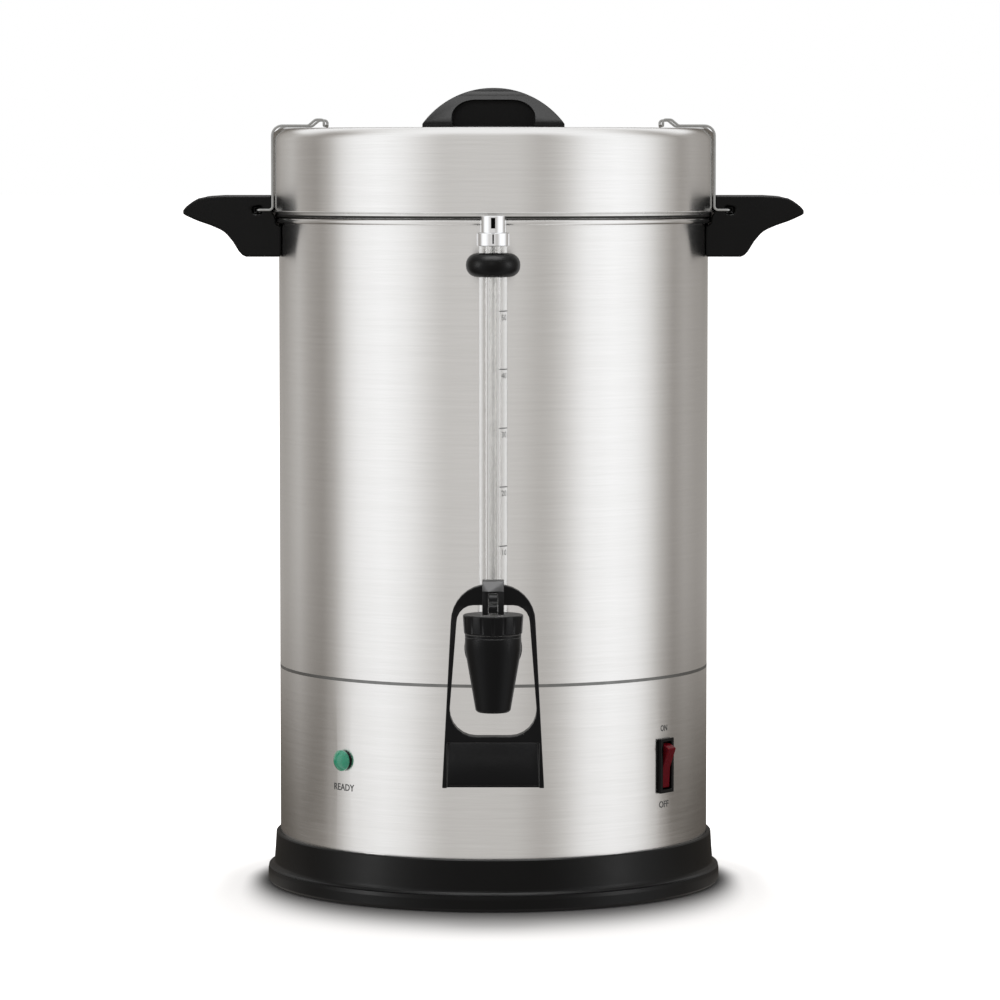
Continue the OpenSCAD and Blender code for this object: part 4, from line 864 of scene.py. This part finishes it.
def makeGlass(look):
    low, high = nodeHeights("gauge_tube")
    outer, bore, chamfer = look["outer"], look["bore"], look["chamfer"]
    outline = [
        (bore, low), (outer - chamfer, low), (outer, low + chamfer), (outer, high - chamfer),
        (outer - chamfer, high), (bore, high),
    ]
    return spunPiece("gaugeGlass", outline, smallRound, gaugeAxis, closed=True)


settle(makeGlass(tubeLook), bodyOf("gauge_tube"), clearTube, ("gauge_tube",))

# Millimetres from the cap's foot and axis. A slot is (width, low, high), and its faces are given black
# rubber: painted shade inside the slots.
capLook = {
    "low": 359, "slots": [(2.3, 9.3, 15.0), (0.8, 1.2, 6.2)], "cut": (-18, -2),
    "dark": (-6.8, -1.9), "slack": 0.02,
    "outline": [
        (7.75, 0), (8.7, 0), (8.9, 0.2), (8.9, 6.6), (8.6, 6.9), (7.0, 7.2), (7.0, 15.7), (6.7, 16.0),
        (0, 16.0), (0, 13.0), (2.8, 13.0), (2.8, 5.2), (7.75, 5.2),
    ],
}


# The gauge's cap, with upright slots cut into its front
def makeCap(look):
    outline = [(radius * mm, (look["low"] + height) * mm) for radius, height in look["outline"]]
    cap = spunPiece("gaugeCap", outline, smallRound, gaugeAxis)
    front, back = look["cut"]
    for width, low, high in look["slots"]:
        restSelection()
        middle = Vector((0, (front + back) / 2, look["low"] + (low + high) / 2)) * mm
        bpy.ops.mesh.primitive_cube_add(size=1, location=Vector(gaugeAxis) + middle)
        cutter = bpy.context.object
        cutter.scale = Vector((width, back - front, high - low)) * mm
        addModifier(cap, "BOOLEAN", object=cutter, operation="DIFFERENCE", solver="EXACT")
        bpy.data.objects.remove(cutter)
    return cap


def inSlot(face, look):
    place = (face.center - Vector(gaugeAxis)) / mm
    if not look["dark"][0] < place.y < look["dark"][1]:
        return False
    height, slack = place.z - look["low"], look["slack"]
    return any(
        abs(place.x) < width / 2 + slack and low - slack < height < high + slack
        for width, low, high in look["slots"]
    )


cap = settle(makeCap(capLook), bodyOf("gauge_cap"), chrome, ("gauge_cap",))
# The slots' faces get black rubber: painted shade
finishFaces(cap, rubber, lambda face: inSlot(face, capLook))

# Millimetres. Each grip is a groove down the collar between the two rows.
bonnetLook = {
    "grips": 16, "groove": 0.6, "rows": (156.3, 164.3), "collar": 15.2,
    "outline": [
        (13.45, 153.5), (14.9, 153.5), (14.9, 154.8), (14.3, 155.0), (15.2, 155.3), (15.4, 155.7),
        (15.45, 156.3), (16.0, 164.3), (15.95, 164.9), (15.4, 165.3), (3.75, 165.3), (3.75, 161.5),
        (13.45, 161.5),
    ],
}


def makeBonnet(look):
    outline = inMetres(look["outline"])
    bonnet = spunPiece("tapBonnet", outline, smallRound, tapLook["axis"], closed=True)
    axis = Vector(tapLook["axis"]).xy
    every = smallRound // look["grips"]
    for vertex in bonnet.data.vertices:
        away = vertex.co.xy - axis
        step = round(math.atan2(away.y, away.x) / (2 * math.pi) * smallRound)
        onRow = min(abs(vertex.co.z - row * mm) for row in look["rows"]) < 0.05 * mm
        if onRow and away.length > look["collar"] * mm and step % every == 0:
            vertex.co.xy = axis + away * (1 - look["groove"] * mm / away.length)
    return bonnet


settle(makeBonnet(bonnetLook), bodyOf("tap_bonnet"), tapPlastic, ("tap_bonnet",), 30)

# Millimetres. The plate curves forward round an arc: steep degrees at its top, upright at its foot.
padLook = {
    "top": 97.6, "half": (23.6, 24.4), "front": -161.0, "round": 46.0, "steep": 30.0, "thick": 2.2,
    "edge": 0.6, "across": 12, "rows": 14,
}


# The curved thumb plate on the front of the lever
def makePad(look):
    lean = [math.radians(look["steep"] * (1 - row / look["rows"])) for row in range(look["rows"] + 1)]
    restSelection()
    bpy.ops.mesh.primitive_grid_add(x_subdivisions=look["across"], y_subdivisions=look["rows"], size=1)
    pad = bpy.context.object
    pad.name = pad.data.name = "leverPad"
    for vertex in pad.data.vertices:
        share = 0.5 - vertex.co.y
        turn = lean[round(share * look["rows"])]
        half = look["half"][0] + (look["half"][1] - look["half"][0]) * share
        forward = look["round"] * (math.cos(turn) - math.cos(lean[0]))
        height = look["top"] - look["round"] * (math.sin(lean[0]) - math.sin(turn))
        vertex.co = Vector((2 * half * vertex.co.x, look["front"] - forward, height)) * mm
    addModifier(pad, "SOLIDIFY", thickness=look["thick"] * mm, offset=-1)
    addModifier(
        pad, "BEVEL", width=look["edge"] * mm, segments=3, limit_method="ANGLE",
        angle_limit=math.radians(50),
    )
    return pad


settle(makePad(padLook), bodyOf("lever"), tapPlastic, (), 40)

# A dark steel band set into the seam between the two shells: painted shade for the gap
seamShade = skinned(
    "seamShade", metalSkin,
    {"Colour": (0.24, 0.24, 0.235, 1), "Shade": (0.18, 0.18, 0.175, 1), "Roughness": 0.4,
     "Mottle": 140.0, "Bump": (0.3, 0.00003)},
    {"Metallic": 1.0},
)
# Millimetres
seamLook = {"radius": 120.03, "deep": 0.6, "middle": 122.1, "half": 0.85}


def makeSeam(look):
    inner, outer = look["radius"] - look["deep"], look["radius"]
    low, high = look["middle"] - look["half"], look["middle"] + look["half"]
    outline = [(inner, low), (outer, low), (outer, look["middle"]), (outer, high), (inner, high)]
    return spunPiece("seamShadeBand", inMetres(outline), largeRound, closed=True)


settle(makeSeam(seamLook), "root", seamShade)

# Millimetres. A face points outwards or upwards where its normal does by the least share.
lidLook = {
    "outline": [
        (2.7, 422.1), *arcPoints((117.6, 415.5), 6.6, 90, 0, 14), (124.2, 375.8), (122.0, 375.8),
        (122.0, 374.5), (122.0, 373.3), (118.6, 373.3), (118.6, 364.3), (117.8, 364.3), (117.8, 374.1),
        (121.2, 374.1), (121.2, 376.6), (123.4, 376.6), *arcPoints((117.6, 415.5), 5.8, 0, 90, 14),
        (2.7, 421.3),
    ],
    "skirt": 123.5, "shoulder": 415.0, "least": 0.02, "lip": (370.0, 374.6), "lipRadius": 118.5,
}


# The lid shows brushed steel only outside: its skirt and top
def lidOutside(face, look):
    middle = face.center / mm
    away = Vector((middle.x, middle.y, 0)).normalized()
    onSkirt = face.normal.dot(away) > look["least"] and middle.xy.length > look["skirt"]
    return onSkirt or (face.normal.z > look["least"] and middle.z > look["shoulder"])


# The lip where the lid meets the tank, given near-black steel: painted shade in the gap
def lidLip(face, look):
    middle = face.center / mm
    return look["lip"][0] < middle.z < look["lip"][1] and middle.xy.length > look["lipRadius"]


lidCover = spunPiece("lidCover", inMetres(lidLook["outline"]), largeRound, closed=True)
settle(lidCover, bodyOf("lid"), steel, ("lid",), 30)
finishFaces(lidCover, satinSteel, lambda face: not lidOutside(face, lidLook))
finishFaces(lidCover, paintedShadeSteel, lambda face: lidLip(face, lidLook) and not lidOutside(face, lidLook))

hemLook = {"radius": 123.9 * mm, "roll": 0.5 * mm, "height": 376.25 * mm}


# The rolled edge at the lid's foot
def makeHem(look):
    restSelection()
    bpy.ops.mesh.primitive_torus_add(
        major_radius=look["radius"], minor_radius=look["roll"], major_segments=largeRound,
        minor_segments=12, location=(0, 0, look["height"]),
    )
    hem = bpy.context.object
    hem.name = hem.data.name = "lidHem"
    return hem


settle(makeHem(hemLook), bodyOf("lid"), satinSteel)

print("gauge tube, cap, bonnet, lever pad, seam band and lid made")

ink = skinned(
    "printedInk", mouldSkin,
    {"Colour": (0.10, 0.10, 0.10, 1), "Dust": (0.16, 0.16, 0.16, 1), "Roughness": 0.5,
     "Grain": 2500.0, "Bump": (0.2, 0.00002)},
    {"Specular IOR Level": 0.3},
)
paleInk = skinned(
    "paleInk", mouldSkin,
    {"Colour": (0.20, 0.20, 0.20, 1), "Dust": (0.27, 0.27, 0.27, 1), "Roughness": 0.5,
     "Grain": 2500.0, "Bump": (0.2, 0.00002)},
    {"Specular IOR Level": 0.3},
)

lettering = {
    "wordOn": {"words": "ON", "size": 4.6 * mm, "degrees": 51.2, "height": 94 * mm, "stretch": 0.85},
    "wordOff": {"words": "OFF", "size": 5.0 * mm, "degrees": 51.2, "height": 52 * mm, "stretch": 1.0},
    "wordReady": {
        "words": "READY", "size": 5.2 * mm, "degrees": -42.9, "height": 63 * mm, "stretch": 0.95,
    },
}
printing = {"proud": 0.06 * mm, "axis": (0, 0), "radius": 120.0 * mm, "bold": 0.07 * mm}
for name, look in lettering.items():
    settle(letteringOnShell(name, {**printing, **look}), "root", ink)

gaugeMarks = {
    "cups": {50: 324.5, 40: 293.6, 30: 262.3, 20: 231.0, 10: 199.4},  # heights in millimetres
    "axis": gaugeAxis[:2], "radius": 7.62 * mm, "proud": 0.05 * mm, "degrees": 50,
    "tick": (26, 76), "tickHeight": 0.55 * mm, "digits": 4.3 * mm, "below": 3.6 * mm,
}


# A line round the tube's front, between two degrees
def makeTick(name, height, look):
    low, high = look["tick"]
    restSelection()
    bpy.ops.mesh.primitive_cube_add(size=1)
    tick = bpy.context.object
    tick.name = tick.data.name = name
    bpy.ops.object.mode_set(mode="EDIT")
    bpy.ops.mesh.select_all(action="SELECT")
    bpy.ops.mesh.subdivide(number_cuts=7)
    bpy.ops.object.mode_set(mode="OBJECT")
    for vertex in tick.data.vertices:
        across, out, up = vertex.co
        angle = math.radians(low + (high - low) * (across + 0.5))
        away = look["radius"] + look["proud"] * (0.5 - out)
        vertex.co = (
            look["axis"][0] + away * math.sin(angle), look["axis"][1] - away * math.cos(angle),
            height + up * look["tickHeight"],
        )
    return tick


for cups, height in gaugeMarks["cups"].items():
    settle(makeTick(f"tick{cups}", height * mm, gaugeMarks), "root", paleInk)
    figures = letteringOnShell(f"cups{cups}", {
        **gaugeMarks, "words": str(cups), "size": gaugeMarks["digits"],
        "height": height * mm - gaugeMarks["below"],
    })
    settle(figures, "root", paleInk)

print("lettering and marks laid")

# Lamps that only gloss sees, and only on the black pieces
sheen = {
    "sheenAbove": {"place": (0.0, -0.45, 1.75), "aim": (0, -0.1, 0.3), "size": (1.3, 1.0), "power": 36.0},
    "sheenLeft": {"place": (-2.1, -0.95, 0.45), "aim": (0, 0, 0.2), "size": (0.5, 1.4), "power": 20.0},
    "sheenRight": {"place": (2.1, -0.95, 0.45), "aim": (0, 0, 0.2), "size": (0.5, 1.4), "power": 16.0},
    "sheenFront": {
        "place": (-0.22, -1.56, 0.84), "aim": (0, -0.16, 0.09), "size": (0.3, 0.2), "power": 1.3,
    },
}
darkPieces = bpy.data.collections.new("darkPieces")
for piece in list(scene.objects):
    if piece.type == "MESH" and {blackPlastic, tapPlastic} & set(piece.data.materials):
        darkPieces.objects.link(piece)
for name, box in sheen.items():
    lamp = addLamp(name, box)
    lamp.visible_diffuse = False
    lamp.light_linking.receiver_collection = darkPieces

# The steel behind the tap stays clear of its dark image
for name in ("tapBody", "tapBonnet", "tapLever", "leverPad", "stemHead"):
    bpy.data.objects[name].visible_glossy = False

floorLook = {
    "colour": (0.245, 0.24, 0.237, 1), "warmth": (1.0, 0.985, 0.975, 1), "speckle": 1.01,
    "foot": 0.127, "reach": (0.16, 1.0),  # the shadow's start, and its length beside and in front
    # The light that comes back in two steps, and the metres from the start over which it does. Held back
    # near the foot, this glow paints part of the shadow.
    "near": (0.0, 0.8), "nearSpan": (-0.003, 0.095), "far": (0.0, 0.6), "farSpan": (0.08, 0.38),
    # What gloss loses in front and behind (painted shade close to the urn), the sines between the two,
    # and the metres over which it ends
    "dim": (0.15, 0.75), "dimBehind": (-0.25, 0.25), "dimNear": (0.25, 1.8),
}


# Pale with a soft shadow to the camera, partly cast by the lamps and partly painted: the glow that the
# camera sees is held back near the foot, longer in front than beside. To gloss it is the room going on,
# with painted shade close to the urn: the direction read there is that of the ray that the urn reflects,
# and the camera never sees it.
def makeFloorPaint(look):
    material, tree, shader = newMaterial("paleFloor")
    place = addNode(tree, "ShaderNodeTexCoord").outputs["Object"]
    speckled = tuple(channel * look["speckle"] for channel in look["colour"][:3]) + (1,)
    tone = mixNode(tree, noiseNode(tree, place, 60.0, 2.0), look["colour"], speckled)
    wire(tree, tone, shader.inputs["Base Color"])
    setSockets(shader, {"Roughness": 0.6, "Specular IOR Level": 0.0, "Emission Color": look["warmth"]})
    path = addNode(tree, "ShaderNodeLightPath")
    seen = mathNode(tree, "MAXIMUM", path.outputs["Is Camera Ray"], path.outputs["Is Transmission Ray"])
    fromCentre = addNode(tree, "ShaderNodeVectorMath", operation="LENGTH")
    wire(tree, place, fromCentre.inputs[0])
    distance = fromCentre.outputs["Value"]
    backward = mathNode(tree, "DIVIDE", splitNode(tree, place)[1], distance)
    forward = mathNode(tree, "MAXIMUM", mathNode(tree, "MULTIPLY", backward, -1.0), 0.0)
    reach = rangeNode(tree, mathNode(tree, "POWER", forward, 2.0), *look["reach"])
    beyond = mathNode(tree, "DIVIDE", mathNode(tree, "SUBTRACT", distance, look["foot"]), reach)
    glow = mathNode(
        tree, "ADD", rangeNode(tree, beyond, *look["near"], look["nearSpan"], smooth=True),
        rangeNode(tree, beyond, *look["far"], look["farSpan"], smooth=True),
    )
    wire(tree, mathNode(tree, "MULTIPLY", seen, glow), shader.inputs["Emission Strength"])
    dimming = mathNode(
        tree, "MULTIPLY", rangeNode(tree, distance, 1, 0, look["dimNear"], smooth=True),
        rangeNode(tree, backward, *look["dim"], look["dimBehind"], smooth=True),
    )
    onward = addNode(tree, "ShaderNodeVectorMath", operation="SCALE")
    onward.inputs["Scale"].default_value = -1.0
    wire(tree, addNode(tree, "ShaderNodeNewGeometry").outputs["Incoming"], onward.inputs[0])
    walls = throughGroup(tree, roomWalls, onward.outputs["Vector"])
    mirrored = addNode(tree, "ShaderNodeEmission")
    dimmed = mathNode(tree, "MULTIPLY", walls, mathNode(tree, "SUBTRACT", 1.0, dimming))
    wire(tree, throughGroup(tree, roomTint, dimmed), mirrored.inputs["Color"])
    surface = shaderMix(tree, path.outputs["Is Glossy Ray"], shader.outputs[0], mirrored.outputs[0])
    wire(tree, surface, tree.nodes["Material Output"].inputs["Surface"])
    return material


restSelection()
bpy.ops.mesh.primitive_plane_add(size=120, location=(0, 30, 0))
floor = bpy.context.object
floor.name = "paleFloor"
bpy.ops.object.transform_apply(location=True)
floor.data.materials.append(makeFloorPaint(floorLook))

print("floor laid")
